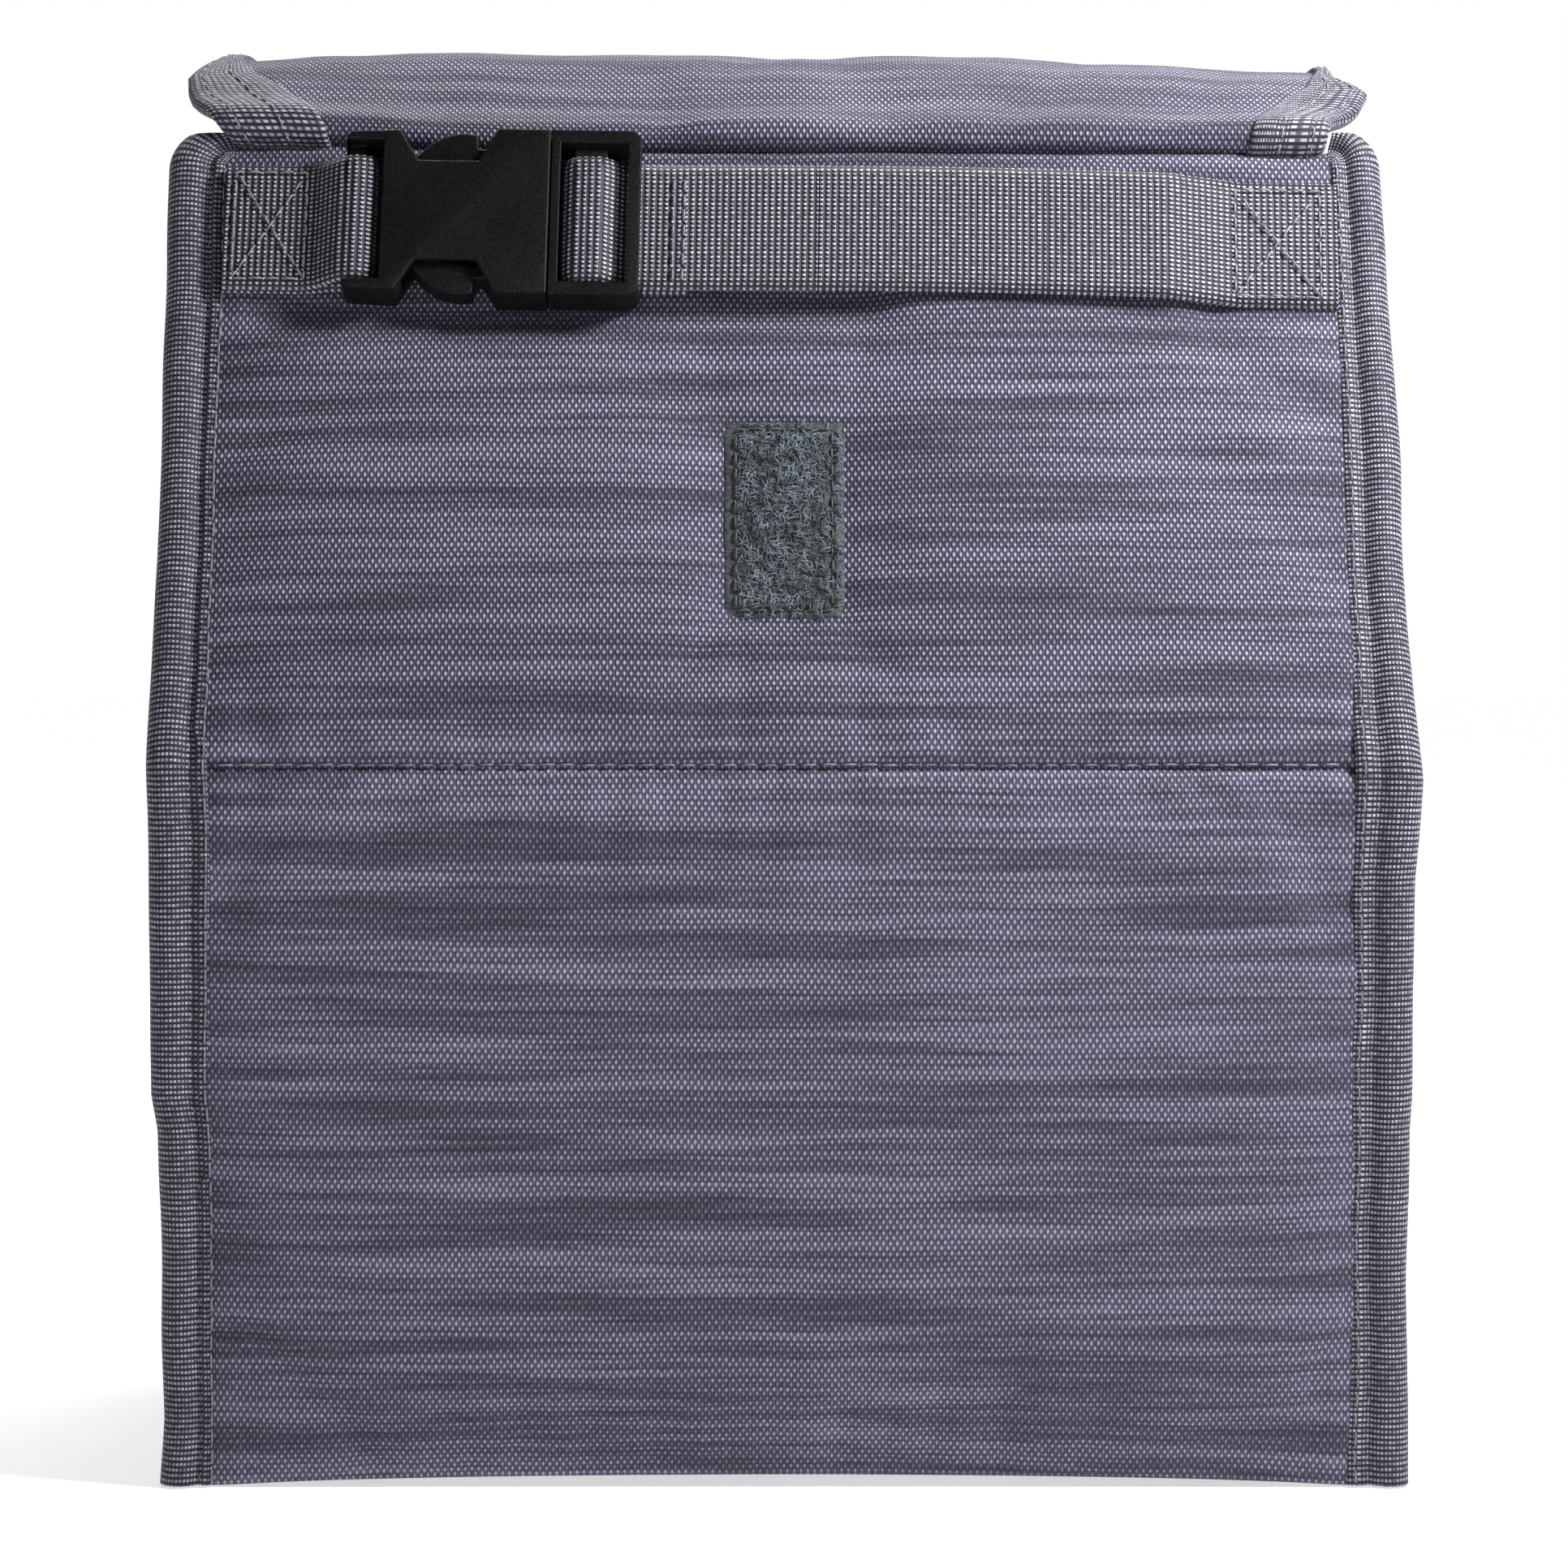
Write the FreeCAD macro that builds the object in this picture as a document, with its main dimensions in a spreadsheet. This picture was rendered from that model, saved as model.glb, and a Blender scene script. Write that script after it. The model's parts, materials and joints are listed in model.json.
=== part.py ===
"""Soft insulated lunch bag with a folded zip top and a buckled carry strap.

Frame: millimetres, origin on the floor at the centre of the base, +Z up. The back of the bag,
which carries the strap and the buckle, faces -Y. The zip top folds forward, towards +Y.
"""
import FreeCAD
import Part
import Sketcher
import math
import os
import re

Vector = FreeCAD.Vector
Rotation = FreeCAD.Rotation
Placement = FreeCAD.Placement

document = FreeCAD.newDocument("lunch_bag")

# ---------------------------------------------------------------- driving dimensions

DIMENSIONS = [
    # the bag as it stands: seen from the side each wall is two straight runs that meet at the
    # stitched fold line, and the upper run leans in to the crease under the folded top
    ("panel_half_width", 102.5),
    ("base_half_depth", 60.0),
    ("fold_half_depth", 63.5),
    ("fold_height", 125.0),
    ("crease_half_depth", 24.0),
    ("crease_height", 233.0),
    # wall layers, from the outside in
    ("shell_fabric", 1.0),
    ("foam_depth", 4.0),
    ("gel_depth", 10.0),
    ("lining_depth", 10.6),
    ("gel_side_margin", 4.0),
    ("gel_seam_margin", 4.0),
    ("gel_end_margin", 8.0),
    # base layers, from the floor up
    ("base_foam_top", 4.0),
    ("base_board_top", 6.0),
    ("base_lining_top", 6.6),
    # bound edges at the four upright corners
    ("binding_outer", 108.0),
    ("binding_proud", 0.9),
    ("binding_thickness", 4.5),
    ("binding_round", 1.6),
    ("flange_inner", 98.5),
    ("flange_proud", 0.5),
    # hook-and-loop patch on the back
    ("patch_width", 21.5),
    ("patch_height", 36.5),
    ("patch_thickness", 1.8),
    ("patch_drop", 70.5),
    # folded top: a roof arc from the back crease to the front fold, then a hanging part
    ("roof_radius", 39.0),
    ("roof_centre_depth", 9.25),
    ("roof_centre_height", 213.6),
    ("roof_start_angle", 56.1),
    ("roof_sweep", 88.9),
    ("top_fabric", 1.0),
    ("top_foam", 2.5),
    ("top_lining", 3.0),
    ("top_half_width", 96.0),
    ("top_binding_outer", 103.0),
    ("front_fold_depth", 31.0),
    ("front_fold_height", 246.0),
    ("front_start", 2.6),
    ("front_length", 70.0),
    # inner layer of the top, pleated under the roof and hanging behind the front part
    ("lip_half_width", 94.0),
    ("lip_sheet", 1.2),
    ("lip_fabric", 1.1),
    ("lip_total", 1.6),
    ("lip_crease_depth", 22.5),
    ("lip_crease_height", 234.6),
    ("pleat_depth", -1.0),
    ("pleat_height", 237.2),
    ("lip_fold_depth", 23.5),
    ("lip_fold_height", 240.5),
    ("lip_start", 0.5),
    ("lip_length", 66.0),
    # zip along the lower edge of the hanging part
    ("zip_tape", 0.6),
    ("zip_tape_height", 11.0),
    ("zip_coil_height", 2.5),
    ("zip_coil_thickness", 1.45),
    ("zip_half_length", 96.0),
    ("zip_front_half_length", 80.0),
    ("zip_stop_length", 2.0),
    ("slider_park", 90.0),
    ("slider_half_length", 5.0),
    ("slider_outer_face", 1.9),
    ("slider_inner_face", 8.6),
    ("slider_wall", 0.9),
    ("slider_mouth", 70.3),
    ("slider_floor", 71.3),
    ("slider_base", 72.5),
    ("bridge_height", 4.0),
    ("bridge_thickness", 1.4),
    ("bridge_level", 5.2),
    ("bridge_post", 1.0),
    ("bridge_clearance", 0.5),
    ("pull_length", 24.0),
    ("pull_neck_half", 2.3),
    ("pull_half_width", 3.2),
    ("pull_thickness", 1.6),
    ("pull_tilt", 10.0),
    # carry strap, in the strap's own frame: x along the strap, level out from the panel
    ("strap_drop", 18.0),
    ("strap_roll", 0.9),
    ("webbing_width", 23.5),
    ("webbing_thickness", 1.6),
    ("sewn_level", 0.2),
    ("strap_level", 4.2),
    ("anchor_right_end", 96.5),
    ("anchor_right_bend", 79.5),
    ("anchor_right_top", 67.5),
    ("strap_pivot", 66.0),
    ("strap_link", 40.0),
    ("anchor_left_end", 98.2),
    ("anchor_left_bend", 80.5),
    ("tail_end", 17.0),
    ("tail_level", 2.5),
    # side-release buckle, from the strap's end of the plug to the loop end of the socket
    ("buckle_low", 0.9),
    ("buckle_high", 9.3),
    ("buckle_lift", 1.1),
    ("buckle_half_width", 15.6),
    ("slot_half_width", 13.2),
    ("corner_radius", 2.2),
    ("plug_outer_end", 25.2),
    ("plug_outer_bar", 27.4),
    ("plug_bar_right", 31.3),
    ("plug_bar_left", 37.0),
    ("plug_front_wall", 39.4),
    ("plug_front", 41.0),
    ("plug_low", 1.5),
    ("plug_high", 9.0),
    ("strap_tunnel", 6.1),
    ("bar_low", 4.3),
    ("bar_high", 7.3),
    ("tongue_end", 56.0),
    ("tongue_half_width", 2.2),
    ("tongue_low", 3.9),
    ("tongue_high", 6.3),
    ("socket_front", 41.2),
    ("shoulder", 50.3),
    ("window_front", 53.8),
    ("window_back", 64.3),
    ("window_half_width", 9.4),
    ("arm_start", 67.8),
    ("arm_half_width", 15.2),
    ("socket_slot_front", 70.6),
    ("socket_slot_back", 73.7),
    ("arm_corner", 76.2),
    ("arm_end_half_width", 14.8),
    ("socket_end", 77.0),
    ("end_half_width", 14.0),
    ("loop_bar_low", 3.6),
    ("loop_bar_high", 6.6),
    ("cavity_low", 2.4),
    ("cavity_high", 7.8),
    ("cavity_half_width", 13.1),
    ("cavity_end", 68.5),
    ("prong_low", 2.6),
    ("prong_high", 7.6),
    ("prong_root", 41.3),
    ("loop_clearance", 0.15),
    ("bend", 1.0),
]

sheet = document.addObject("Spreadsheet::Sheet", "dims")
for row, (alias, number) in enumerate(DIMENSIONS, start=1):
    sheet.set("A%d" % row, alias)
    sheet.set("B%d" % row, str(number))
    sheet.setAlias("B%d" % row, alias)
document.recompute()

ALIASES = set(alias for alias, number in DIMENSIONS)
NODES = []


def bound(text):
    """Turn words of the sheet into references to it, so text can be used as an expression."""
    def reference(word):
        return "dims." + word.group() if word.group() in ALIASES else word.group()
    return re.sub(r"[a-z][a-z_]+", reference, text)


def size(text):
    """Value of an expression in the sheet's words."""
    return float(sheet.evalExpression(bound(text)))


# ---------------------------------------------------------------- building blocks

def new_body(label):
    body = document.addObject("PartDesign::Body", label)
    body.Label = label
    NODES.append(body)
    return body


def outline(body, plane, loops, offset="0"):
    """Sketch of closed loops on one of the body's own planes, every corner bound to the sheet.

    plane is XY_Plane, XZ_Plane or YZ_Plane, offset moves the sketch along the plane's normal,
    and each loop is a list of corners, written as pairs of expressions.
    """
    sketch = body.newObject("Sketcher::SketchObject", body.Label + "_outline")
    base = [item for item in body.Origin.OriginFeatures if item.Role == plane][0]
    sketch.AttachmentSupport = [(base, "")]
    sketch.MapMode = "FlatFace"
    sketch.setExpression("AttachmentOffset.Base.z", bound(offset))
    for loop in loops:
        corners = [Vector(size(across), size(up), 0) for across, up in loop]
        first = sketch.GeometryCount
        for index, corner in enumerate(corners):
            sketch.addGeometry(Part.LineSegment(corner, corners[(index + 1) % len(corners)]))
        for index, (across, up) in enumerate(loop):
            this_side = first + index
            next_side = first + (index + 1) % len(loop)
            sketch.addConstraint(Sketcher.Constraint("Coincident", this_side, 2, next_side, 1))
            for kind, text in (("DistanceX", across), ("DistanceY", up)):
                place = sketch.addConstraint(Sketcher.Constraint(kind, -1, 1, this_side, 1, size(text)))
                sketch.setExpression("Constraints[%d]" % place, bound(text))
    return sketch


def pad(body, sketch, length, symmetric=False):
    feature = body.newObject("PartDesign::Pad", body.Label + "_pad")
    feature.Profile = sketch
    feature.SideType = "Symmetric" if symmetric else "One side"
    feature.setExpression("Length", bound(length))
    document.recompute()
    return feature


def pocket(body, sketch, length, symmetric=False):
    """Cut along the sketch's own normal, checked by the volume that it takes away."""
    before = body.Shape.Volume
    feature = body.newObject("PartDesign::Pocket", body.Label + "_pocket")
    feature.Profile = sketch
    feature.SideType = "Symmetric" if symmetric else "One side"
    feature.Reversed = not symmetric
    feature.setExpression("Length", bound(length))
    document.recompute()
    if body.Shape.Volume > before - 0.01:
        raise RuntimeError("%s: a pocket cut nothing" % body.Label)
    return feature


def fillet_edges(body, feature, radius, wanted):
    """Round the edges of a feature that the test picks."""
    names = ["Edge%d" % (number + 1) for number, edge in enumerate(feature.Shape.Edges) if wanted(edge)]
    rounding = body.newObject("PartDesign::Fillet", body.Label + "_round")
    rounding.Base = (feature, names)
    rounding.setExpression("Radius", bound(radius))
    document.recompute()
    return rounding


def along(edge, axis):
    """True for a straight edge that runs along the axis."""
    return edge.Curve.TypeId == "Part::GeomLine" and abs(edge.Curve.Direction.dot(axis)) > 0.999


# ---------------------------------------------------------------- bag walls

def wall_depth(height, inset):
    """Half depth of the wall at a height, less an inset."""
    if height == "fold_height":
        return "fold_half_depth - (%s)" % inset
    if height == "crease_height":
        return "crease_half_depth - (%s)" % inset
    if size(height) < size("fold_height"):
        run = "base_half_depth + (fold_half_depth - base_half_depth) * (%s) / fold_height" % height
    else:
        run = ("fold_half_depth + (crease_half_depth - fold_half_depth)"
               " * ((%s) - fold_height) / (crease_height - fold_height)" % height)
    return run + " - (%s)" % inset


def wall_layer(label, side, outer, inner, half_width, heights):
    """One layer of the back (side -1) or front (side 1) wall, between two insets."""
    body = new_body(label)
    loop = [("%d * (%s)" % (side, wall_depth(level, outer)), level) for level in heights]
    loop += [("%d * (%s)" % (side, wall_depth(level, inner)), level) for level in reversed(heights)]
    pad(body, outline(body, "YZ_Plane", [loop]), "2 * (%s)" % half_width, symmetric=True)
    return body


def side_layer(label, side, outer, inner, inset, heights):
    """One layer of the left (side -1) or right (side 1) gusset, between two half widths."""
    body = new_body(label)
    loop = [("-(%s)" % wall_depth(level, inset), level) for level in heights]
    loop += [(wall_depth(level, inset), level) for level in reversed(heights)]
    low = inner if side > 0 else "-(%s)" % outer
    pad(body, outline(body, "YZ_Plane", [loop], low), "(%s) - (%s)" % (outer, inner))
    return body


def base_layer(label, low, high, half_width, half_depth):
    body = new_body(label)
    loop = [(x + "(%s)" % half_width, y + "(%s)" % half_depth) for x, y in (("-", "-"), ("", "-"), ("", ""), ("-", ""))]
    pad(body, outline(body, "XY_Plane", [loop], low), "(%s) - (%s)" % (high, low))
    return body


FULL_HEIGHT = ["0", "fold_height", "crease_height"]
FOAM_HEIGHT = ["base_foam_top", "fold_height", "crease_height"]
LINING_HEIGHT = ["base_lining_top", "fold_height", "crease_height"]
LOWER_GEL = ["base_lining_top + gel_seam_margin", "fold_height - gel_seam_margin"]
UPPER_GEL = ["fold_height + gel_seam_margin", "crease_height - gel_end_margin"]
SIDE_GEL = ["base_lining_top + gel_seam_margin", "fold_height", "crease_height - gel_end_margin"]


def make_walls():
    for name, side in (("back", -1), ("front", 1)):
        wall_layer(name + "_panel_fabric", side, "0", "shell_fabric", "panel_half_width", FULL_HEIGHT)
        wall_layer(name + "_foam", side, "shell_fabric", "foam_depth", "panel_half_width - shell_fabric",
                   FOAM_HEIGHT)
        gel_half = "panel_half_width - gel_depth - gel_side_margin"
        wall_layer(name + "_lower_gel_pack", side, "foam_depth", "gel_depth", gel_half, LOWER_GEL)
        wall_layer(name + "_upper_gel_pack", side, "foam_depth", "gel_depth", gel_half, UPPER_GEL)
        wall_layer(name + "_lining", side, "gel_depth", "lining_depth", "panel_half_width - gel_depth",
                   LINING_HEIGHT)
    for name, side in (("left", -1), ("right", 1)):
        side_layer(name + "_gusset_fabric", side, "panel_half_width", "panel_half_width - shell_fabric",
                   "shell_fabric", FULL_HEIGHT)
        side_layer(name + "_foam", side, "panel_half_width - shell_fabric", "panel_half_width - foam_depth",
                   "foam_depth", FOAM_HEIGHT)
        side_layer(name + "_gel_pack", side, "panel_half_width - foam_depth", "panel_half_width - gel_depth",
                   "gel_depth + gel_side_margin / 2", SIDE_GEL)
        side_layer(name + "_lining", side, "panel_half_width - gel_depth", "panel_half_width - lining_depth",
                   "lining_depth", LINING_HEIGHT)
    base_layer("bottom_panel_fabric", "0", "shell_fabric", "panel_half_width - shell_fabric",
               "base_half_depth - shell_fabric")
    base_layer("bottom_foam", "shell_fabric", "base_foam_top", "panel_half_width - shell_fabric",
               "base_half_depth - shell_fabric")
    base_layer("bottom_board", "base_foam_top", "base_board_top", "panel_half_width - gel_depth",
               "base_half_depth - gel_depth")
    base_layer("bottom_lining", "base_board_top", "base_lining_top", "panel_half_width - gel_depth",
               "base_half_depth - gel_depth")


def make_corner_bindings():
    """Each upright corner seam is wrapped in tape: a rounded roll, and a flange on the panel."""
    for name, side in (("back", -1), ("front", 1)):
        for hand, across in (("left", -1), ("right", 1)):
            body = new_body("%s_%s_binding" % (name, hand))
            low_roll = "panel_half_width" if across > 0 else "-binding_outer"
            low_flange = "flange_inner" if across > 0 else "-panel_half_width"
            roll = binding_loop(side, "-binding_proud", "binding_thickness - binding_proud")
            flange = binding_loop(side, "-flange_proud", "0")
            roll_pad = pad(body, outline(body, "YZ_Plane", [roll], low_roll), "binding_outer - panel_half_width")
            outside = across * size("binding_outer")
            fillet_edges(body, roll_pad, "binding_round",
                         lambda edge: all(abs(end.X - outside) < 0.01 for end in edge.Vertexes)
                         and abs(edge.Vertexes[0].Z - edge.Vertexes[-1].Z) > 20)
            pad(body, outline(body, "YZ_Plane", [flange], low_flange), "panel_half_width - flange_inner")


def binding_loop(side, outer, inner):
    loop = [("%d * (%s)" % (side, wall_depth(level, outer)), level) for level in FULL_HEIGHT]
    loop += [("%d * (%s)" % (side, wall_depth(level, inner)), level) for level in reversed(FULL_HEIGHT)]
    return loop


# ---------------------------------------------------------------- folded top

def ring_sector(label, outer, inner, low, high):
    """Arc of a tube about the roof's centre line, between two places across the bag."""
    tubes = []
    for part_name, radius in (("_outer", outer), ("_inner", inner)):
        tube = document.addObject("Part::Cylinder", label + part_name)
        tube.setExpression("Radius", bound(radius))
        tube.setExpression("Height", bound("(%s) - (%s)" % (high, low)))
        tube.setExpression("Angle", bound("roof_sweep"))
        tubes.append(tube)
    cut = document.addObject("Part::Cut", label)
    cut.Base = tubes[0]
    cut.Tool = tubes[1]
    cut.Label = label
    turn = Rotation(Vector(0, 1, 0), 90).multiply(Rotation(Vector(0, 0, 1), 90 + size("roof_start_angle")))
    cut.Placement = Placement(Vector(size(low), size("roof_centre_depth"), size("roof_centre_height")), turn)
    NODES.append(cut)
    return cut


def make_roof():
    width = "top_half_width"
    ring_sector("roof_fabric", "roof_radius", "roof_radius - top_fabric", "-" + width, width)
    ring_sector("roof_foam", "roof_radius - top_fabric", "roof_radius - top_foam", "-" + width, width)
    ring_sector("roof_lining", "roof_radius - top_foam", "roof_radius - top_lining", "-" + width, width)
    ring_sector("roof_left_binding", "roof_radius", "roof_radius - top_lining", "-top_binding_outer", "-" + width)
    ring_sector("roof_right_binding", "roof_radius", "roof_radius - top_lining", width, "top_binding_outer")


LEAN = math.degrees(math.atan2(size("fold_half_depth - crease_half_depth"), size("crease_height - fold_height")))
HANGING = Rotation(Vector(1, 0, 0), LEAN)


def hanging_place(depth, height):
    """Frame of a hanging part: local -Z runs down the slope, local +Y points out of the front."""
    return Placement(Vector(0, size(depth), size(height)), HANGING)


def slab(label, across, inward, down, place):
    """Flat strip in a hanging frame; each argument is a low and high pair of expressions."""
    body = new_body(label)
    loop = [(across[0], inward[0]), (across[1], inward[0]), (across[1], inward[1]), (across[0], inward[1])]
    pad(body, outline(body, "XY_Plane", [loop], "-(%s)" % down[1]), "(%s) - (%s)" % (down[1], down[0]))
    body.Placement = place
    return body


def make_hanging_front():
    place = hanging_place("front_fold_depth", "front_fold_height")
    width = ("-top_half_width", "top_half_width")
    down = ("front_start", "front_length")
    slab("flap_fabric", width, ("-top_fabric", "0"), down, place)
    slab("flap_foam", width, ("-top_foam", "-top_fabric"), down, place)
    slab("flap_lining", width, ("-top_lining", "-top_foam"), down, place)
    inward = ("-top_lining", "0")
    slab("flap_left_binding", ("-top_binding_outer", "-top_half_width"), inward, down, place)
    slab("flap_right_binding", ("top_half_width", "top_binding_outer"), inward, down, place)


def make_lip():
    """The top's inner layer: in under the roof, back out again, and down behind the flap."""
    turn_in = ("lip_crease_depth", "lip_crease_height", "pleat_depth", "pleat_height", -1)
    turn_out = ("pleat_depth", "pleat_height", "lip_fold_depth", "lip_fold_height", 1)
    for label, (y_a, z_a, y_b, z_b, side) in (("lip_pleat_lower", turn_in), ("lip_pleat_upper", turn_out)):
        body = new_body(label)
        thick = "%d * lip_sheet" % side
        loop = [(y_a, z_a), (y_b, z_b), (y_b, z_b + " + " + thick), (y_a, z_a + " + " + thick)]
        pad(body, outline(body, "YZ_Plane", [loop]), "2 * lip_half_width", symmetric=True)
    place = hanging_place("lip_fold_depth", "lip_fold_height")
    width = ("-lip_half_width", "lip_half_width")
    slab("lip_front_fabric", width, ("0", "lip_fabric"), ("lip_start", "lip_length"), place)
    slab("lip_front_lining", width, ("lip_fabric", "lip_total"), ("lip_start", "lip_length"), place)


# ---------------------------------------------------------------- zip

def make_zip():
    """Two taped coils that face each other below the hanging parts, and a slider across them."""
    flap_place = hanging_place("front_fold_depth", "front_fold_height")
    tape_down = ("front_length + 1 - zip_tape_height", "front_length + 1")
    coil_down = ("front_length + 1 - zip_coil_height", "front_length + 1")
    tape_face = "-(top_lining + zip_tape)"
    length = ("-zip_half_length", "zip_half_length")
    slab("zip_rear_tape", length, (tape_face, "-top_lining"), tape_down, flap_place)
    slab("zip_rear_coil", length, (tape_face + " - zip_coil_thickness", tape_face), coil_down, flap_place)
    lip_face = size_gap_to_lip()
    short = ("-zip_front_half_length", "zip_front_half_length")
    slab("zip_front_tape", short, ("-%.4f" % lip_face, "-%.4f + zip_tape" % lip_face), tape_down, flap_place)
    slab("zip_front_coil", short, ("-%.4f + zip_tape" % lip_face, "-%.4f + zip_tape + zip_coil_thickness" % lip_face),
         coil_down, flap_place)


def size_gap_to_lip():
    """Distance from the flap's outer face to the lip's outer face, square to both."""
    step_depth = size("lip_fold_depth - front_fold_depth")
    step_height = size("lip_fold_height - front_fold_height")
    lean = math.radians(LEAN)
    return -(step_depth * math.cos(lean) + step_height * math.sin(lean)) - size("lip_total")


def make_zip_slider():
    """Channel that closes round both coils from below, with a bridge for the pull."""
    place = hanging_place("front_fold_depth", "front_fold_height")
    body = new_body("zip_slider")
    channel = [("-slider_inner_face", "-slider_mouth"), ("-slider_inner_face", "-slider_base"),
               ("-slider_outer_face", "-slider_base"), ("-slider_outer_face", "-slider_mouth"),
               ("-slider_outer_face - slider_wall", "-slider_mouth"),
               ("-slider_outer_face - slider_wall", "-slider_floor"),
               ("-slider_inner_face + slider_wall", "-slider_floor"),
               ("-slider_inner_face + slider_wall", "-slider_mouth")]
    pad(body, outline(body, "YZ_Plane", [channel], "slider_park - slider_half_length"), "2 * slider_half_length")
    inner = "pull_neck_half + bridge_clearance"
    outer = inner + " + bridge_post"
    bar = "slider_base + bridge_height - bridge_thickness"
    arch = [("slider_park - (%s)" % outer, "-slider_base"),
            ("slider_park - (%s)" % outer, "-slider_base - bridge_height"),
            ("slider_park + (%s)" % outer, "-slider_base - bridge_height"),
            ("slider_park + (%s)" % outer, "-slider_base"),
            ("slider_park + (%s)" % inner, "-slider_base"),
            ("slider_park + (%s)" % inner, "-(%s)" % bar),
            ("slider_park - (%s)" % inner, "-(%s)" % bar),
            ("slider_park - (%s)" % inner, "-slider_base")]
    face = "bridge_level - bridge_thickness / 2"
    pad(body, outline(body, "XZ_Plane", [arch], face), "bridge_thickness")
    body.Placement = place
    make_zip_pull(place)


def make_zip_pull(place):
    """Tab that hangs on the slider's bridge and leans on the front of the bag."""
    body = new_body("zip_pull")
    hole = "bridge_thickness / 2 + bridge_clearance"
    eye = "(%s) + bridge_post" % hole
    tab = [("-pull_neck_half", eye), ("-pull_neck_half", "-(%s) - 1.5" % eye), ("-pull_half_width", "-2 * (%s)" % eye),
           ("-pull_half_width", "-pull_length"), ("pull_half_width", "-pull_length"),
           ("pull_half_width", "-2 * (%s)" % eye), ("pull_neck_half", "-(%s) - 1.5" % eye), ("pull_neck_half", eye)]
    thick = "2 * (%s)" % eye
    pad(body, outline(body, "XZ_Plane", [tab]), thick, symmetric=True)
    thin = "(%s) - pull_thickness / 2" % eye
    for side in ("", "-"):
        near = side + "(pull_thickness / 2)"
        far = side + "(%s + 1)" % eye
        shave = [(near, "-(%s)" % eye), (far, "-(%s)" % eye), (far, "-pull_length - 1"), (near, "-pull_length - 1")]
        pocket(body, outline(body, "YZ_Plane", [shave]), "4 * pull_half_width", symmetric=True)
    opening = [("-(%s)" % hole, "-(%s)" % hole), (hole, "-(%s)" % hole), (hole, hole), ("-(%s)" % hole, hole)]
    pocket(body, outline(body, "YZ_Plane", [opening]), "4 * pull_half_width", symmetric=True)
    pivot = place.multVec(Vector(size("slider_park"), -size("bridge_level"),
                                 -size("slider_base + bridge_height - bridge_thickness / 2")))
    body.Placement = Placement(pivot, Rotation(Vector(1, 0, 0), LEAN - size("pull_tilt")))


def make_zip_stops():
    stops = []
    place = hanging_place("front_fold_depth", "front_fold_height")
    for name, start in (("left", "-zip_half_length - zip_stop_length"), ("right", "zip_half_length")):
        stop = document.addObject("Part::Box", "zip_stop_" + name)
        stop.setExpression("Length", bound("zip_stop_length"))
        stop.setExpression("Width", bound("zip_tape + zip_coil_thickness"))
        stop.setExpression("Height", bound("zip_coil_height"))
        corner = Vector(size(start), -size("top_lining + zip_tape + zip_coil_thickness"), -size("front_length + 1"))
        stop.Placement = Placement(place.multVec(corner), HANGING)
        stops.append(stop)
    pair = document.addObject("Part::Fuse", "zip_end_stops")
    pair.Base = stops[0]
    pair.Tool = stops[1]
    pair.Label = "zip_end_stops"
    NODES.append(pair)


# ---------------------------------------------------------------- back panel fittings

def panel_place(drop, roll=0.0):
    """Frame on the upper back panel: local -Y points out of it, local Z up it."""
    lean = Rotation(Vector(1, 0, 0), -LEAN)
    crease = Vector(0, -size("crease_half_depth"), size("crease_height"))
    return Placement(crease + lean.multVec(Vector(0, 0, -size(drop))), lean.multiply(Rotation(Vector(0, 1, 0), roll)))


def make_loop_patch():
    body = new_body("back_loop_patch")
    half_width, half_height = "patch_width / 2", "patch_height / 2"
    loop = [("-" + half_width, "-" + half_height), (half_width, "-" + half_height), (half_width, half_height),
            ("-" + half_width, half_height)]
    pad(body, outline(body, "XZ_Plane", [loop]), "patch_thickness")
    body.Placement = panel_place("patch_drop")


STRAP_PLACE = panel_place("strap_drop", size("strap_roll"))
# the buckle rides a little high on its webbing
BUCKLE_PLACE = STRAP_PLACE.multiply(Placement(Vector(0, 0, size("buckle_lift")), Rotation()))


def webbing(label, *loops):
    """Webbing from its side view: corners are along the strap and out from the panel."""
    body = new_body(label)
    turned = [[(across, "-(%s)" % level) for across, level in loop] for loop in loops]
    pad(body, outline(body, "XY_Plane", turned), "webbing_width", symmetric=True)
    body.Placement = STRAP_PLACE
    return body


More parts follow.
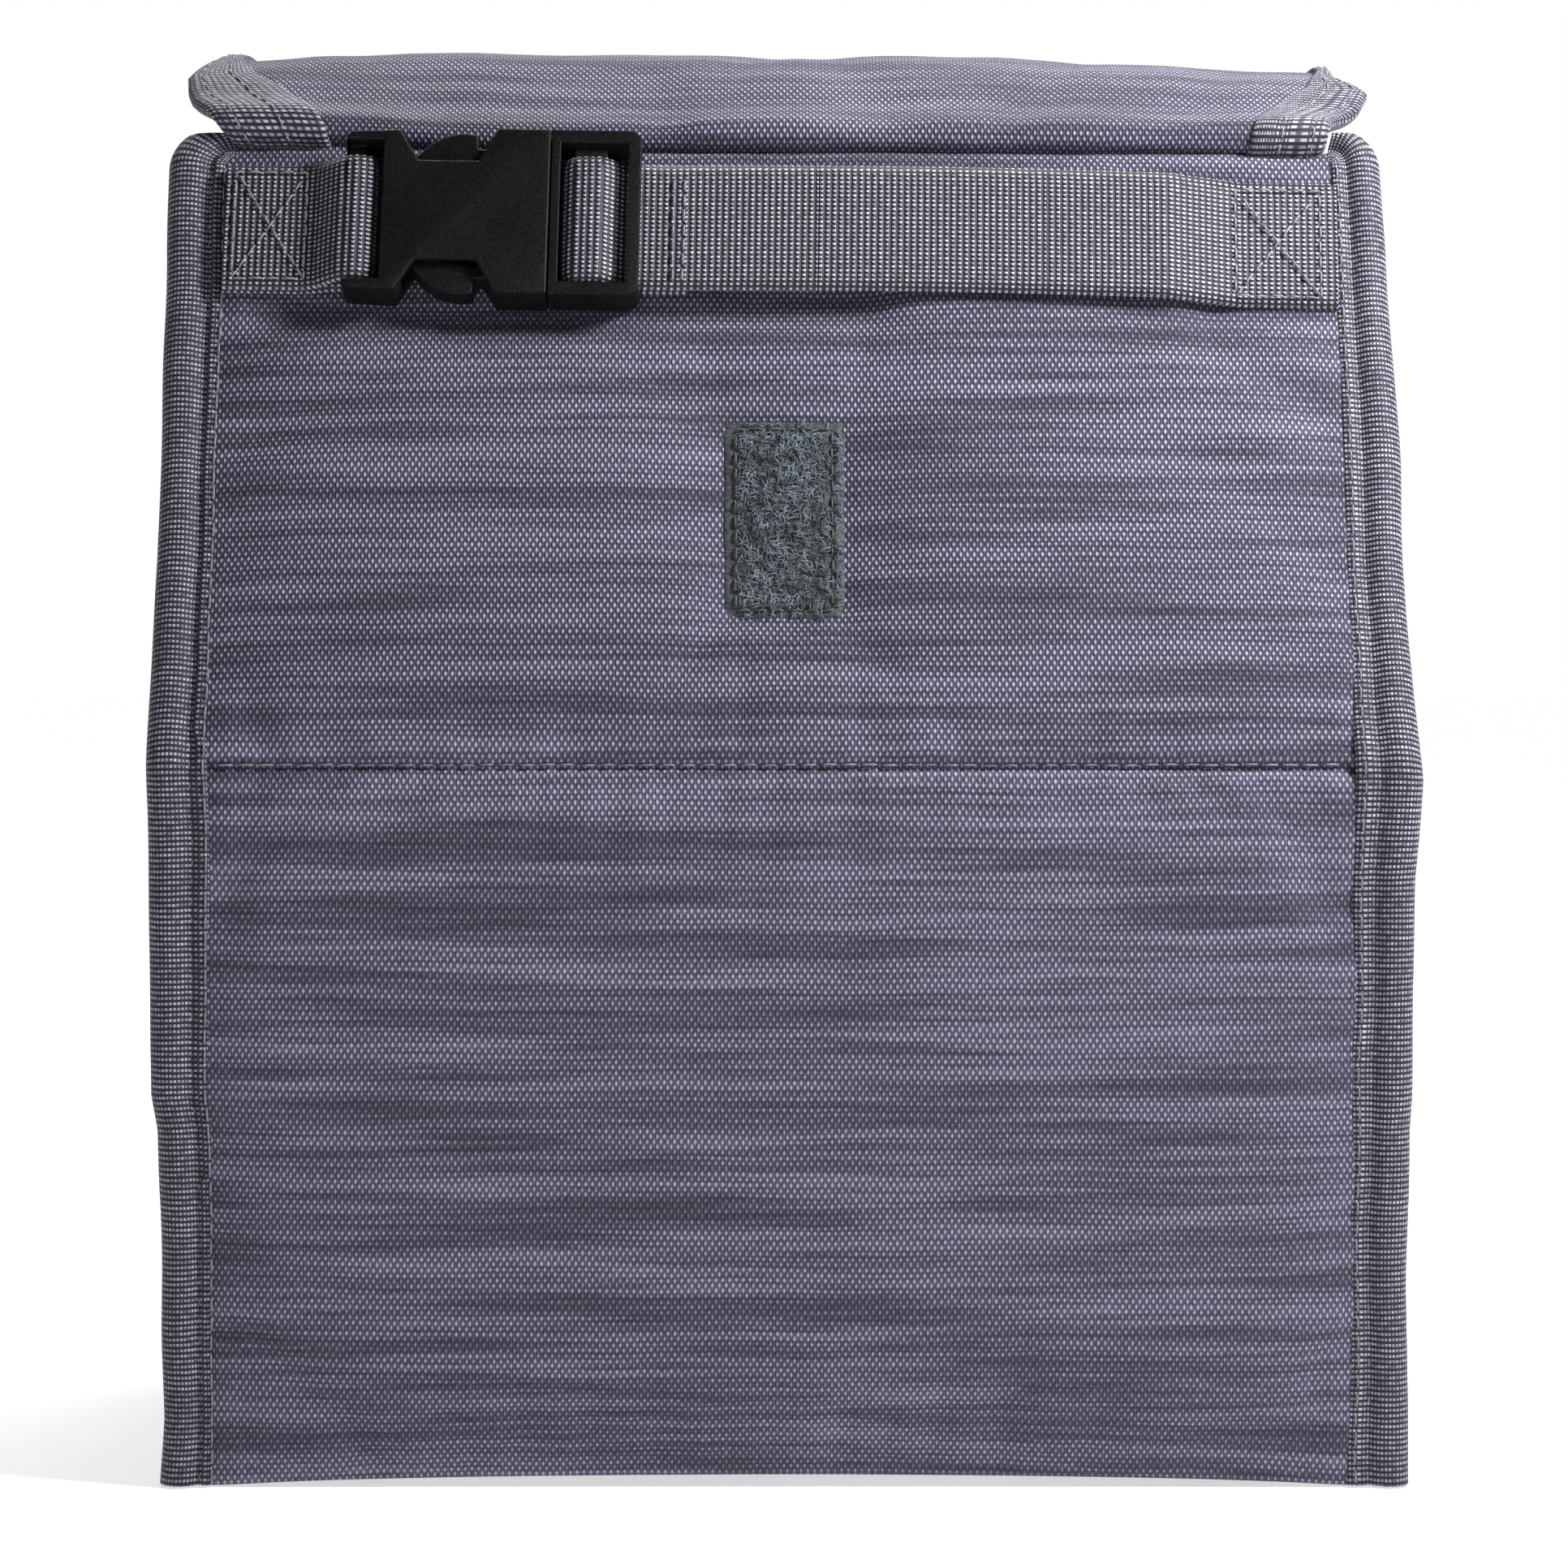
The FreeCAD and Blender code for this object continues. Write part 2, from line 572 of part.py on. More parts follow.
def make_strap():
    top = "strap_level + webbing_thickness"
    sewn_top = "sewn_level + webbing_thickness"
    webbing("strap_right_anchor", [
        ("anchor_right_end", "sewn_level"), ("anchor_right_bend", "sewn_level"),
        ("anchor_right_top", "strap_level"), ("strap_pivot", "strap_level"),
        ("strap_pivot", top), ("anchor_right_top", top),
        ("anchor_right_bend", sewn_top), ("anchor_right_end", sewn_top)])
    for label, start in (("strap_right_run", "strap_pivot"), ("strap_left_run", "strap_pivot - strap_link")):
        end = "%s - strap_link" % start
        webbing(label, [(start, "strap_level"), (end, "strap_level"), (end, top), (start, top)])
    ring_top = "bar_high + loop_clearance + webbing_thickness"
    ring_right = "-plug_bar_right + loop_clearance + webbing_thickness"
    ring_left = "-plug_bar_left - loop_clearance - webbing_thickness"
    webbing("strap_end_loop", [
        ("strap_pivot - 2 * strap_link", top), (ring_right + " + bend / 2", top),
        (ring_right, top + " + bend"), (ring_right, ring_top + " - bend"),
        (ring_right + " - bend", ring_top), (ring_left + " + bend", ring_top),
        (ring_left, ring_top + " - bend"), (ring_left, "tail_level + bend"),
        (ring_left + " + bend", "tail_level"), ("-tail_end", "tail_level"),
        ("-tail_end", "strap_level"), ("strap_pivot - 2 * strap_link", "strap_level")],
        bar_hole("-plug_bar_left", "-plug_bar_right", "bar_low", "bar_high"))
    loop_top = "loop_bar_high + loop_clearance + webbing_thickness"
    loop_low = "loop_bar_low - loop_clearance - webbing_thickness"
    loop_right = "-socket_slot_back + loop_clearance + webbing_thickness"
    loop_left = "-socket_end - loop_clearance - webbing_thickness"
    both_layers = "sewn_level + 2 * webbing_thickness"
    webbing("buckle_anchor_loop", [
        ("-anchor_left_end", "sewn_level"), ("-anchor_left_bend", "sewn_level"),
        (loop_left + " + bend", loop_low), (loop_right + " - bend", loop_low),
        (loop_right, loop_low + " + bend"), (loop_right, loop_top + " - bend"),
        (loop_right + " - bend", loop_top), (loop_left + " + bend", loop_top),
        (loop_left, loop_top + " - bend"), ("-anchor_left_bend", both_layers),
        ("-anchor_left_end", both_layers)],
        bar_hole("-socket_end", "-socket_slot_back", "loop_bar_low", "loop_bar_high"))


def bar_hole(left, right, low, high):
    """Space for a buckle bar inside a webbing loop."""
    left += " - loop_clearance"
    right += " + loop_clearance"
    low += " - loop_clearance"
    high += " + loop_clearance"
    return [(left, low), (right, low), (right, high), (left, high)]


def mirrored(half):
    """Closed outline from its upper half, which runs from one end of the middle line to the other."""
    return half + [(across, "-(%s)" % up) for across, up in reversed(half)]


def box_loop(left, right, half_width):
    return [(left, "-(%s)" % half_width), (right, "-(%s)" % half_width), (right, half_width), (left, half_width)]


def make_socket():
    """Female half: a flat shell, open at the plug's end, with side windows and a loop bar."""
    body = new_body("buckle_socket")
    half = [("-socket_front", "buckle_half_width"), ("-shoulder", "buckle_half_width"),
            ("-window_front", "window_half_width"), ("-window_back", "window_half_width"),
            ("-arm_start", "arm_half_width"), ("-arm_corner", "arm_end_half_width"),
            ("-socket_end", "end_half_width")]
    pad(body, outline(body, "XZ_Plane", [mirrored(half)], "buckle_low"), "buckle_high - buckle_low")
    whole = "buckle_high - buckle_low"
    slot = box_loop("-socket_slot_back", "-socket_slot_front", "slot_half_width")
    pocket(body, outline(body, "XZ_Plane", [slot], "buckle_low"), whole)
    over_bar = box_loop("-socket_end - 1", "-socket_slot_back", "slot_half_width")
    pocket(body, outline(body, "XZ_Plane", [over_bar], "buckle_low"), "loop_bar_low - buckle_low")
    pocket(body, outline(body, "XZ_Plane", [over_bar], "loop_bar_high"), "buckle_high - loop_bar_high")
    cavity = box_loop("-cavity_end", "-socket_front + 1", "cavity_half_width")
    pocket(body, outline(body, "XZ_Plane", [cavity], "cavity_low"), "cavity_high - cavity_low")
    body.Placement = BUCKLE_PLACE


def make_plug():
    """Male half: a slotted frame with a centre bar for the strap and a guide tongue."""
    body = new_body("buckle_plug")
    frame = box_loop("-plug_front", "-plug_outer_end", "buckle_half_width")
    frame_pad = pad(body, outline(body, "XZ_Plane", [frame], "plug_low"), "plug_high - plug_low")
    fillet_edges(body, frame_pad, "corner_radius",
                 lambda edge: along(edge, Vector(0, 1, 0)) and abs(edge.Vertexes[0].X + size("plug_outer_end")) < 0.01)
    window = box_loop("-plug_front_wall", "-plug_outer_bar", "slot_half_width")
    pocket(body, outline(body, "XZ_Plane", [window], "plug_low"), "plug_high - plug_low")
    tunnel = box_loop("-plug_outer_bar - 0.5", "-plug_outer_end + 1", "slot_half_width")
    pocket(body, outline(body, "XZ_Plane", [tunnel], "plug_low"), "strap_tunnel - plug_low")
    bar = box_loop("-plug_bar_left", "-plug_bar_right", "slot_half_width + 0.5")
    pad(body, outline(body, "XZ_Plane", [bar], "bar_low"), "bar_high - bar_low")
    tongue = box_loop("-tongue_end", "-plug_front + 0.5", "tongue_half_width")
    pad(body, outline(body, "XZ_Plane", [tongue], "tongue_low"), "tongue_high - tongue_low")
    body.Placement = BUCKLE_PLACE


PRONG_OUTLINE = [
    ("-prong_root", "12.4"), ("-50", "12.3"), ("-window_front - 0.1", "12.4"), ("-window_front - 0.3", "15.2"),
    ("-57", "15.4"), ("-60", "14.7"), ("-62.5", "13.1"), ("-65", "10.6"), ("-66", "9.3"), ("-65.5", "8.5"),
    ("-62", "8.7"), ("-56", "9.7"), ("-50", "10.5"), ("-prong_root", "10.4")]


def make_prongs():
    for label, side in (("prong_upper", 1), ("prong_lower", -1)):
        body = new_body(label)
        loop = [(across, "%d * (%s)" % (side, up)) for across, up in PRONG_OUTLINE]
        pad(body, outline(body, "XZ_Plane", [loop], "prong_low"), "prong_high - prong_low")
        body.Placement = BUCKLE_PLACE


# ---------------------------------------------------------------- make, check and write

def check_document():
    for item in document.Objects:
        if "Invalid" in item.State or "Error" in item.State:
            raise RuntimeError("%s did not compute: %s" % (item.Label, item.State))
    for node in NODES:
        if node.Shape.isNull() or not node.Shape.isValid():
            raise RuntimeError("%s has no valid shape" % node.Label)
        if not node.Shape.Solids:
            raise RuntimeError("%s has no solid" % node.Label)


def write_nodes():
    os.makedirs("parts", exist_ok=True)
    for node in NODES:
        node.Shape.exportStep("parts/%s.step" % node.Label)


make_walls()
make_corner_bindings()
make_roof()
make_hanging_front()
make_lip()
make_zip()
make_zip_slider()
make_zip_stops()
make_loop_patch()
make_strap()
make_socket()
make_plug()
make_prongs()
document.recompute()
check_document()
write_nodes()
print("%d nodes written" % len(NODES))
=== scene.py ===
"""Looks for the soft insulated lunch bag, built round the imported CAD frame.

Lengths are in millimetres until make_mesh turns them into metres. A point on a wall is
(x, s, n): across the bag, up the wall from the floor, and out from the wall. A point on the
folded top is (x, run, out): across, along its side view from the back crease, and out from it.
"""
import bpy
import json
import math
import numpy as np
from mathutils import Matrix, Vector

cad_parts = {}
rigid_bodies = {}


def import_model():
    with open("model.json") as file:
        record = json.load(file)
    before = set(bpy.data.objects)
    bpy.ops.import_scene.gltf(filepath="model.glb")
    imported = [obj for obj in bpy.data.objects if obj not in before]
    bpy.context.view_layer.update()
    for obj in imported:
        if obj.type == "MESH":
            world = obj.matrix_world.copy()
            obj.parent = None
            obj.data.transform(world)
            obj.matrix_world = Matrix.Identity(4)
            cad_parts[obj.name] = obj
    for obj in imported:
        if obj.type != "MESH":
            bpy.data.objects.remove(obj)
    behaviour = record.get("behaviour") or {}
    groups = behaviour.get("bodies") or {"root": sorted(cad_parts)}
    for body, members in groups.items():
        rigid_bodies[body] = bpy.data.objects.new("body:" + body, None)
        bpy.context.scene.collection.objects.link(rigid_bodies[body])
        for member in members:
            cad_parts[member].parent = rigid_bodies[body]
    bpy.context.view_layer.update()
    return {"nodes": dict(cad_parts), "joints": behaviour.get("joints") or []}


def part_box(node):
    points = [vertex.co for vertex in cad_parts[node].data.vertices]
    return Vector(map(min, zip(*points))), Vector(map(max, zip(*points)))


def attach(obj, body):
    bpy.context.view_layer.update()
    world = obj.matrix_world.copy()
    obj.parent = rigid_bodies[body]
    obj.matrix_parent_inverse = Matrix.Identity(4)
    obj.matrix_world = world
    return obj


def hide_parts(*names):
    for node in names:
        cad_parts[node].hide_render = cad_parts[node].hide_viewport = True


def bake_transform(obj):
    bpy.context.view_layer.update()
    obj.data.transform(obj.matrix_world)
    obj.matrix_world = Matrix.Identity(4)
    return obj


MM = 0.001
WEAVE = "weave"

for left_over in list(bpy.data.objects):
    bpy.data.objects.remove(left_over, do_unlink=True)
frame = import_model()
scene = bpy.context.scene
rng = np.random.default_rng(7)


# ---------------------------------------------------------------- measures read from the frame

def box_mm(node):
    low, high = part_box(node)
    return np.array(low) / MM, np.array(high) / MM


JOINTS = {joint["name"]: joint for joint in frame["joints"]}


def pivot_mm(name):
    return np.array(JOINTS[name]["pos_m"]) / MM


base_low, base_high = box_mm("bottom_panel_fabric")
panel_low, panel_high = box_mm("back_panel_fabric")
FABRIC = base_high[2] - base_low[2]
HALF_WIDTH = panel_high[0]
BASE_DEPTH = base_high[1] + FABRIC
FOLD_DEPTH = -panel_low[1]
CREASE_DEPTH = FABRIC - panel_high[1]
CREASE_HEIGHT = panel_high[2]
FOLD_HEIGHT = (box_mm("back_lower_gel_pack")[1][2] + box_mm("back_upper_gel_pack")[0][2]) / 2
FLANGE_INNER = box_mm("back_right_binding")[0][0]

LOWER_RUN = math.hypot(FOLD_HEIGHT, FOLD_DEPTH - BASE_DEPTH)
UPPER_RUN = math.hypot(CREASE_HEIGHT - FOLD_HEIGHT, FOLD_DEPTH - CREASE_DEPTH)
WALL_RUN = LOWER_RUN + UPPER_RUN
LOWER_LEAN = math.atan2(FOLD_DEPTH - BASE_DEPTH, FOLD_HEIGHT)
UPPER_LEAN = math.atan2(FOLD_DEPTH - CREASE_DEPTH, CREASE_HEIGHT - FOLD_HEIGHT)


def stack(*parts):
    """Coordinates side by side, after broadcasting."""
    return np.stack(np.broadcast_arrays(*parts), axis=-1)


def joined(*parts, axis=0):
    return np.concatenate(parts, axis=axis)


def smooth(value, low, high):
    """0 below low, 1 above high, and a smooth step between them."""
    t = np.clip((np.asarray(value, float) - low) / (high - low), 0, 1)
    return t * t * (3 - 2 * t)


def bell(value, centre, width):
    return np.exp(-((np.asarray(value, float) - centre) / width) ** 2)


# how far the soft sides stand out from the straight CAD edge, left and right, at each height
EDGE_HEIGHTS = [0, 12, 48, 62, 68, 105, 122, 136, 160, 190, 215, 235]
EDGE_LEFT = [0.2, -0.6, -0.7, -0.4, 0.7, 1.0, 1.1, 0.9, 0.6, 0.9, 1.4, 1.3]
EDGE_RIGHT = [0.1, 0.0, -0.7, -0.4, 0.0, 0.1, 1.3, 0.1, -0.6, -1.0, -1.5, -2.5]


def edge_shift(x, z):
    """Sideways shift that gives the straight CAD edge its soft outline."""
    amount = np.where(x < 0, np.interp(z, EDGE_HEIGHTS, EDGE_LEFT), np.interp(z, EDGE_HEIGHTS, EDGE_RIGHT))
    return np.sign(x) * amount * smooth(np.abs(x), 95, 106)


def wall_lean(s):
    """Angle of the wall's outward direction over the horizontal, eased round the fold line."""
    turn = smooth(s, LOWER_RUN - 3, LOWER_RUN + 3)
    return -LOWER_LEAN * (1 - turn) + UPPER_LEAN * turn


def wall(side, x, s, n):
    """Point on the back (side -1) or front (side 1) wall."""
    x, s, n = [part.astype(float) for part in np.broadcast_arrays(x, s, n)]
    low_share = np.minimum(s, LOWER_RUN)
    high_share = np.maximum(s - LOWER_RUN, 0)
    depth = BASE_DEPTH + low_share * math.sin(LOWER_LEAN) - high_share * math.sin(UPPER_LEAN)
    height = low_share * math.cos(LOWER_LEAN) + high_share * math.cos(UPPER_LEAN)
    lean = wall_lean(s)
    return stack(x + edge_shift(x, height), side * (depth + n * np.cos(lean)), height + n * np.sin(lean))


# ---------------------------------------------------------------- mesh building

def link(name, data):
    item = bpy.data.objects.new(name, data)
    scene.collection.objects.link(item)
    return item


def make_mesh(name, points, faces, face_uv=None):
    """Object from points in millimetres, faces, and one (u, v) in millimetres per face corner."""
    mesh = bpy.data.meshes.new(name)
    mesh.from_pydata((np.asarray(points, float).reshape(-1, 3) * MM).tolist(), [], faces)
    if face_uv is not None:
        layer = mesh.uv_layers.new(name=WEAVE)
        layer.data.foreach_set("uv", (np.asarray(face_uv, float) * MM).ravel())
    mesh.polygons.foreach_set("use_smooth", [True] * len(mesh.polygons))
    mesh.update()
    return link(name, mesh)


def grid_faces(rows, columns, flip=False):
    """Corner numbers of a grid's faces, four to a face."""
    row, column = np.meshgrid(np.arange(rows - 1), np.arange(columns - 1), indexing="ij")
    first = (row * columns + column).ravel()
    quads = stack(first, first + 1, first + columns + 1, first + columns)
    return quads[:, ::-1] if flip else quads


def tube_faces(base, rows, around, ring=False, inside_out=False):
    """Faces of a tube whose corners are numbered from base; a ring closes on itself, others get caps."""
    faces = []
    for row in range(rows if ring else rows - 1):
        low = base + row * around
        high = base + (row + 1) % rows * around
        for corner in range(around):
            following = (corner + 1) % around
            faces.append([low + corner, low + following, high + following, high + corner])
    if not ring:
        last = base + (rows - 1) * around
        faces.append([base + corner for corner in reversed(range(around))])
        faces.append([last + corner for corner in range(around)])
    return [face[:1] + face[:0:-1] for face in faces] if inside_out else faces


def make_sheet(name, points, uv, flip=False):
    """One-sided sheet from a grid of points with a (u, v) for each."""
    rows, columns = points.shape[:2]
    quads = grid_faces(rows, columns, flip)
    corner_uv = np.asarray(uv, float).reshape(-1, 2)[quads.ravel()]
    return make_mesh(name, points, quads.tolist(), corner_uv)


def make_loft(name, rings, along, across, turned=False):
    """Closed tube through rings of points, with a flat cap at both ends; its weave may be turned."""
    stations, around = rings.shape[:2]
    row, column = np.meshgrid(np.arange(stations - 1), np.arange(around), indexing="ij")
    row, column = row.ravel(), column.ravel()
    u, next_u, v, next_v = across[column], across[column + 1], along[row], along[row + 1]
    corner_uv = np.stack([stack(u, v), stack(next_u, v), stack(next_u, next_v), stack(u, next_v)],
                         axis=1).reshape(-1, 2)
    face_uv = joined(corner_uv, rings[0, :, :2][::-1], rings[-1, :, :2])
    return make_mesh(name, rings, tube_faces(0, stations, around), face_uv[:, ::-1] if turned else face_uv)


def add_modifier(piece, kind, **values):
    modifier = piece.modifiers.new(kind.lower(), kind)
    for key, value in values.items():
        setattr(modifier, key, value)
    return modifier


def bake(piece):
    """Apply the piece's modifiers to its mesh."""
    graph = bpy.context.evaluated_depsgraph_get()
    graph.update()
    piece_now = piece.evaluated_get(graph)
    finished = bpy.data.meshes.new_from_object(piece_now, preserve_all_data_layers=True, depsgraph=graph)
    piece.modifiers.clear()
    piece.data = finished


def subdivide(piece):
    add_modifier(piece, "SUBSURF", levels=1, render_levels=1, boundary_smooth="PRESERVE_CORNERS")
    bake(piece)


def thicken(piece, thickness, offset=-1):
    add_modifier(piece, "SOLIDIFY", thickness=thickness * MM, offset=offset, use_rim=True)
    bake(piece)


def read_vertices(mesh, values="co"):
    read = np.empty(len(mesh.vertices) * 3)
    mesh.vertices.foreach_get(values, read)
    return read.reshape(-1, 3)


def vertices_mm(piece):
    return read_vertices(piece.data) / MM


def set_vertices_mm(piece, points):
    piece.data.vertices.foreach_set("co", (points * MM).ravel())
    piece.data.update()


CLOTH = {"quality": 7, "mass": 0.3, "tension_stiffness": 15, "compression_stiffness": 15,
         "shear_stiffness": 5, "bending_stiffness": 0.4, "use_pressure": True}
CLOTH_FRAMES = 20
TINY = 1e-9


def relax(piece, pinned, pressure, growth, cap):
    """Let the cloth swell and crease between its seams, then apply the result, with its travel capped."""
    rest = vertices_mm(piece)
    group = piece.vertex_groups.new(name="pinned")
    group.add([int(index) for index in np.flatnonzero(pinned)], 1.0, "REPLACE")
    settings = add_modifier(piece, "CLOTH").settings
    for key, value in CLOTH.items():
        setattr(settings, key, value)
    settings.uniform_pressure_force = pressure
    settings.shrink_min = -growth
    settings.vertex_group_mass = "pinned"
    settings.effector_weights.gravity = 0
    for number in range(1, CLOTH_FRAMES + 1):
        scene.frame_set(number)
    relaxed = piece.evaluated_get(bpy.context.evaluated_depsgraph_get())
    travel = read_vertices(relaxed.to_mesh()) / MM - rest
    relaxed.to_mesh_clear()
    piece.modifiers.clear()
    piece.vertex_groups.clear()
    scene.frame_set(1)
    length = np.linalg.norm(travel, axis=1)
    limit = cap * np.ones(len(rest))
    share = limit * np.tanh(length / np.maximum(limit, TINY)) / np.maximum(length, TINY)
    set_vertices_mm(piece, rest + travel * share[:, None])


RIPPLE_WAVES = 9


def ripple(u, v, scale, seed):
    """Smooth bumps between about -1 and 1, the same for the same seed."""
    wave = np.random.default_rng(seed)
    total = np.zeros(np.broadcast(u, v).shape)
    for turn in range(RIPPLE_WAVES):
        angle = wave.uniform(0, 2 * math.pi)
        pitch = scale * wave.uniform(0.6, 1.8)
        phase = wave.uniform(0, 2 * math.pi)
        total = total + np.sin((np.cos(angle) * u + np.sin(angle) * v) * 2 * math.pi / pitch + phase)
    return total / RIPPLE_WAVES * 1.6


def distances(line):
    """Distance along a line to each of its points."""
    return joined([0], np.cumsum(np.linalg.norm(np.diff(line, axis=0), axis=1)))


def at_distances(at, run, values):
    """Rows of values, given at the distances run, read at other distances."""
    return np.stack([np.interp(at, run, column) for column in values.T], axis=1)


def resample(points, step):
    """Points about step apart along a line, and their distances along it."""
    points = np.asarray(points, float)
    run = distances(points)
    at = np.linspace(0, run[-1], max(2, int(round(run[-1] / step)) + 1))
    return at_distances(at, run, points), at


def rounded(points, easing, step):
    """The line with its corners eased by repeated averaging, ends kept."""
    line = resample(points, step)[0]
    for turn in range(easing):
        middle = (line[:-2] + 2 * line[1:-1] + line[2:]) / 4
        line = joined(line[:1], middle, line[-1:])
    return resample(line, step)


def side_normals(line):
    """Directions at right angles to a side-view line."""
    tangent = normalised(np.gradient(line, axis=0))
    return stack(-tangent[:, 1], tangent[:, 0])


def normalised(vectors):
    return vectors / np.maximum(np.linalg.norm(vectors, axis=-1, keepdims=True), TINY)


# a stitch from end to end: share of its length, height and girth as shares of its radius
STITCH_PLACES = np.array([0.0, 0.12, 0.35, 0.65, 0.88, 1.0])
STITCH_HEIGHTS = np.array([-1.6, -0.2, 0.5, 0.5, -0.2, -1.6])
STITCH_GIRTHS = np.array([0.35, 0.9, 1.0, 1.0, 0.9, 0.35])
STITCH_SIDES = 6
STITCH_START = 0.3


def tube_rings(spine, aside, over, girth, sides):
    """Rings of points round a spine, between two directions across it."""
    turn = np.linspace(0, 2 * math.pi, sides, endpoint=False)[:, None]
    return spine[:, None] + girth * (np.cos(turn) * aside[:, None] + np.sin(turn) * over[:, None])


def make_stitches(name, runs, length, gap, radius, lift):
    """Thread stitches along each run of (points, outward directions), as small rounded capsules."""
    points, faces = [], []
    for line, outward in runs:
        both = joined(line, np.broadcast_to(outward, line.shape), axis=1)
        run = distances(line)
        start = STITCH_START
        while start + length < run[-1]:
            place = at_distances(start + length * STITCH_PLACES, run, both)
            middle, out = place[:, :3], normalised(place[:, 3:])
            aside = normalised(np.cross(normalised(np.gradient(middle, axis=0)), out))
            height = lift + radius * STITCH_HEIGHTS
            middle = middle + out * height[:, None] + aside * rng.uniform(-0.08, 0.08)
            rings = tube_rings(middle, aside, out, radius * STITCH_GIRTHS[:, None, None], STITCH_SIDES)
            faces += tube_faces(len(points), len(rings), STITCH_SIDES, inside_out=True)
            points.extend(rings.reshape(-1, 3).tolist())
            start += length + gap * rng.uniform(0.85, 1.2)
    return make_mesh(name, points, faces)


# ---------------------------------------------------------------- materials

class Recipe:
    """Small helper that writes a material's node tree."""

    def __init__(self, name, **surface):
        self.material = bpy.data.materials.new(name)
        self.material.use_nodes = True
        self.tree = self.material.node_tree
        self.shader = self.tree.nodes["Principled BSDF"]
        for socket, value in surface.items():
            self.shader.inputs[socket.replace("_", " ")].default_value = value

    def node(self, kind, inputs=None, **settings):
        made = self.tree.nodes.new("ShaderNode" + kind)
        for key, value in settings.items():
            setattr(made, key, value)
        for key, value in (inputs or {}).items():
            self.feed(made.inputs[key], value)
        return made

    def feed(self, socket, value):
        if isinstance(value, bpy.types.NodeSocket):
            self.tree.links.new(value, socket)
        else:
            socket.default_value = value

    def math(self, operation, *values):
        return self.node("Math", dict(enumerate(values)), operation=operation).outputs[0]

    def times(self, first, second):
        return self.math("MULTIPLY", first, second)

    def plus(self, first, second):
        return self.math("ADD", first, second)

    def scaled(self, value, factor, shift):
        return self.math("MULTIPLY_ADD", value, factor, shift)

    def wave(self, coordinate, pitch):
        """Cosine of a coordinate in metres, with a pitch in millimetres."""
        return self.math("COSINE", self.scaled(coordinate, 2 * math.pi / (pitch * MM), 0.0))

    def noise(self, vector, scale, detail=2.0, rough=0.5, stretch=None):
        if stretch is not None:
            vector = self.node("VectorMath", {0: vector, 1: stretch}, operation="MULTIPLY").outputs[0]
        made = self.node("TexNoise", {"Vector": vector, "Scale": scale, "Detail": detail, "Roughness": rough})
        return made.outputs[0]

    def ramp(self, value, low, high, to_low=0.0, to_high=1.0):
        made = self.node("MapRange", {"Value": value, "From Min": low, "From Max": high,
                                      "To Min": to_low, "To Max": to_high}, interpolation_type="SMOOTHSTEP")
        return made.outputs[0]

    def colours(self, value, *stops):
        """Colour ramp from its first two stops, with any further stops between them."""
        made = self.node("ValToRGB", {0: value})
        elements = made.color_ramp.elements
        for index, (place, colour) in enumerate(stops):
            stop = elements[index] if index < 2 else elements.new(place)
            stop.position = place
            stop.color = (*colour, 1)
        return made.outputs[0]

    def weave_uv(self):
        made = self.node("UVMap", uv_map=WEAVE)
        parts = self.node("SeparateXYZ", {0: made.outputs[0]})
        return made.outputs[0], parts.outputs[0], parts.outputs[1]

    def place(self):
        return self.node("TexCoord").outputs["Object"]

    def finish(self, colour, height=None, relief=0.2, strength=0.7, roughness=None):
        self.feed(self.shader.inputs["Base Color"], colour)
        if roughness is not None:
            self.feed(self.shader.inputs["Roughness"], roughness)
        if height is not None:
            bump = self.node("Bump", {"Strength": strength, "Distance": relief * MM, "Height": height})
            self.feed(self.shader.inputs["Normal"], bump.outputs[0])
        return self.material


PICK_ACROSS, PICK_UP = 1.17, 1.84
PICK_TOP = 0.62
TAPE_RIB, TAPE_BEAD = 0.95, 0.66
WEBBING_RIB, WEBBING_DASH = 1.16, 0.84


def shell_material(name, lower_floor, upper_floor_raking_shade):
    """Heathered plain weave: rounded picks in a staggered pattern, each row of yarn with its own tone.

    The floor is the brightness between the picks, partly yarn colour and partly painted shade; it drops above
    the fold, where the wall leans back, and the pick tips get a stronger painted highlight there, standing in
    for raking light from above.
    """
    made = Recipe(name, Roughness=0.74, Sheen_Weight=0.12, Sheen_Roughness=0.4, Specular_IOR_Level=0.3)
    uv, u, v = made.weave_uv()
    # painted shade: the gaps darken above the fold, where the leaning wall would catch raking light
    floor = made.ramp(v, 0.110, 0.150, lower_floor, upper_floor_raking_shade)
    v = made.plus(v, made.scaled(made.noise(uv, 30.0), 0.0016, -0.0008))
    picks = made.times(made.wave(u, PICK_ACROSS), made.wave(v, PICK_UP))
    threads = made.plus(made.wave(u, PICK_ACROSS / 2), made.wave(v, PICK_UP / 2))
    picks = made.times(made.scaled(threads, 0.3, picks), 0.65)
    dots = made.ramp(picks, -0.65, 0.5)
    tips = made.ramp(picks, 0.15, 0.9)
    row = made.ramp(made.noise(uv, 1.0, 2.0, 0.6, (34, 900, 0)), 0.28, 0.68, 0.60, 1.18)
    broad = made.ramp(made.noise(uv, 1.0, 3.0, 0.55, (12, 175, 0)), 0.32, 0.68, 0.55, 1.34)
    fine = made.ramp(made.noise(uv, 1.0, 1.0, 0.5, (850, 1050, 0)), 0.25, 0.75, 0.82, 1.18)
    tone = made.times(made.times(row, broad), fine)
    body = made.scaled(dots, made.math("SUBTRACT", PICK_TOP, floor), floor)
    # painted highlight on the pick tips, stronger where the floor is darker
    tip_highlight = made.scaled(floor, -1.2, PICK_TOP)
    bright = made.times(made.scaled(tips, tip_highlight, body), tone)
    colour = made.colours(bright, (0.0, (0.006, 0.006, 0.013)), (1.0, (0.335, 0.322, 0.432)),
                          (0.45, (0.100, 0.094, 0.145)))
    return made.finish(colour, made.plus(made.times(dots, 0.75), made.times(tips, 0.25)), 0.30, 0.9)


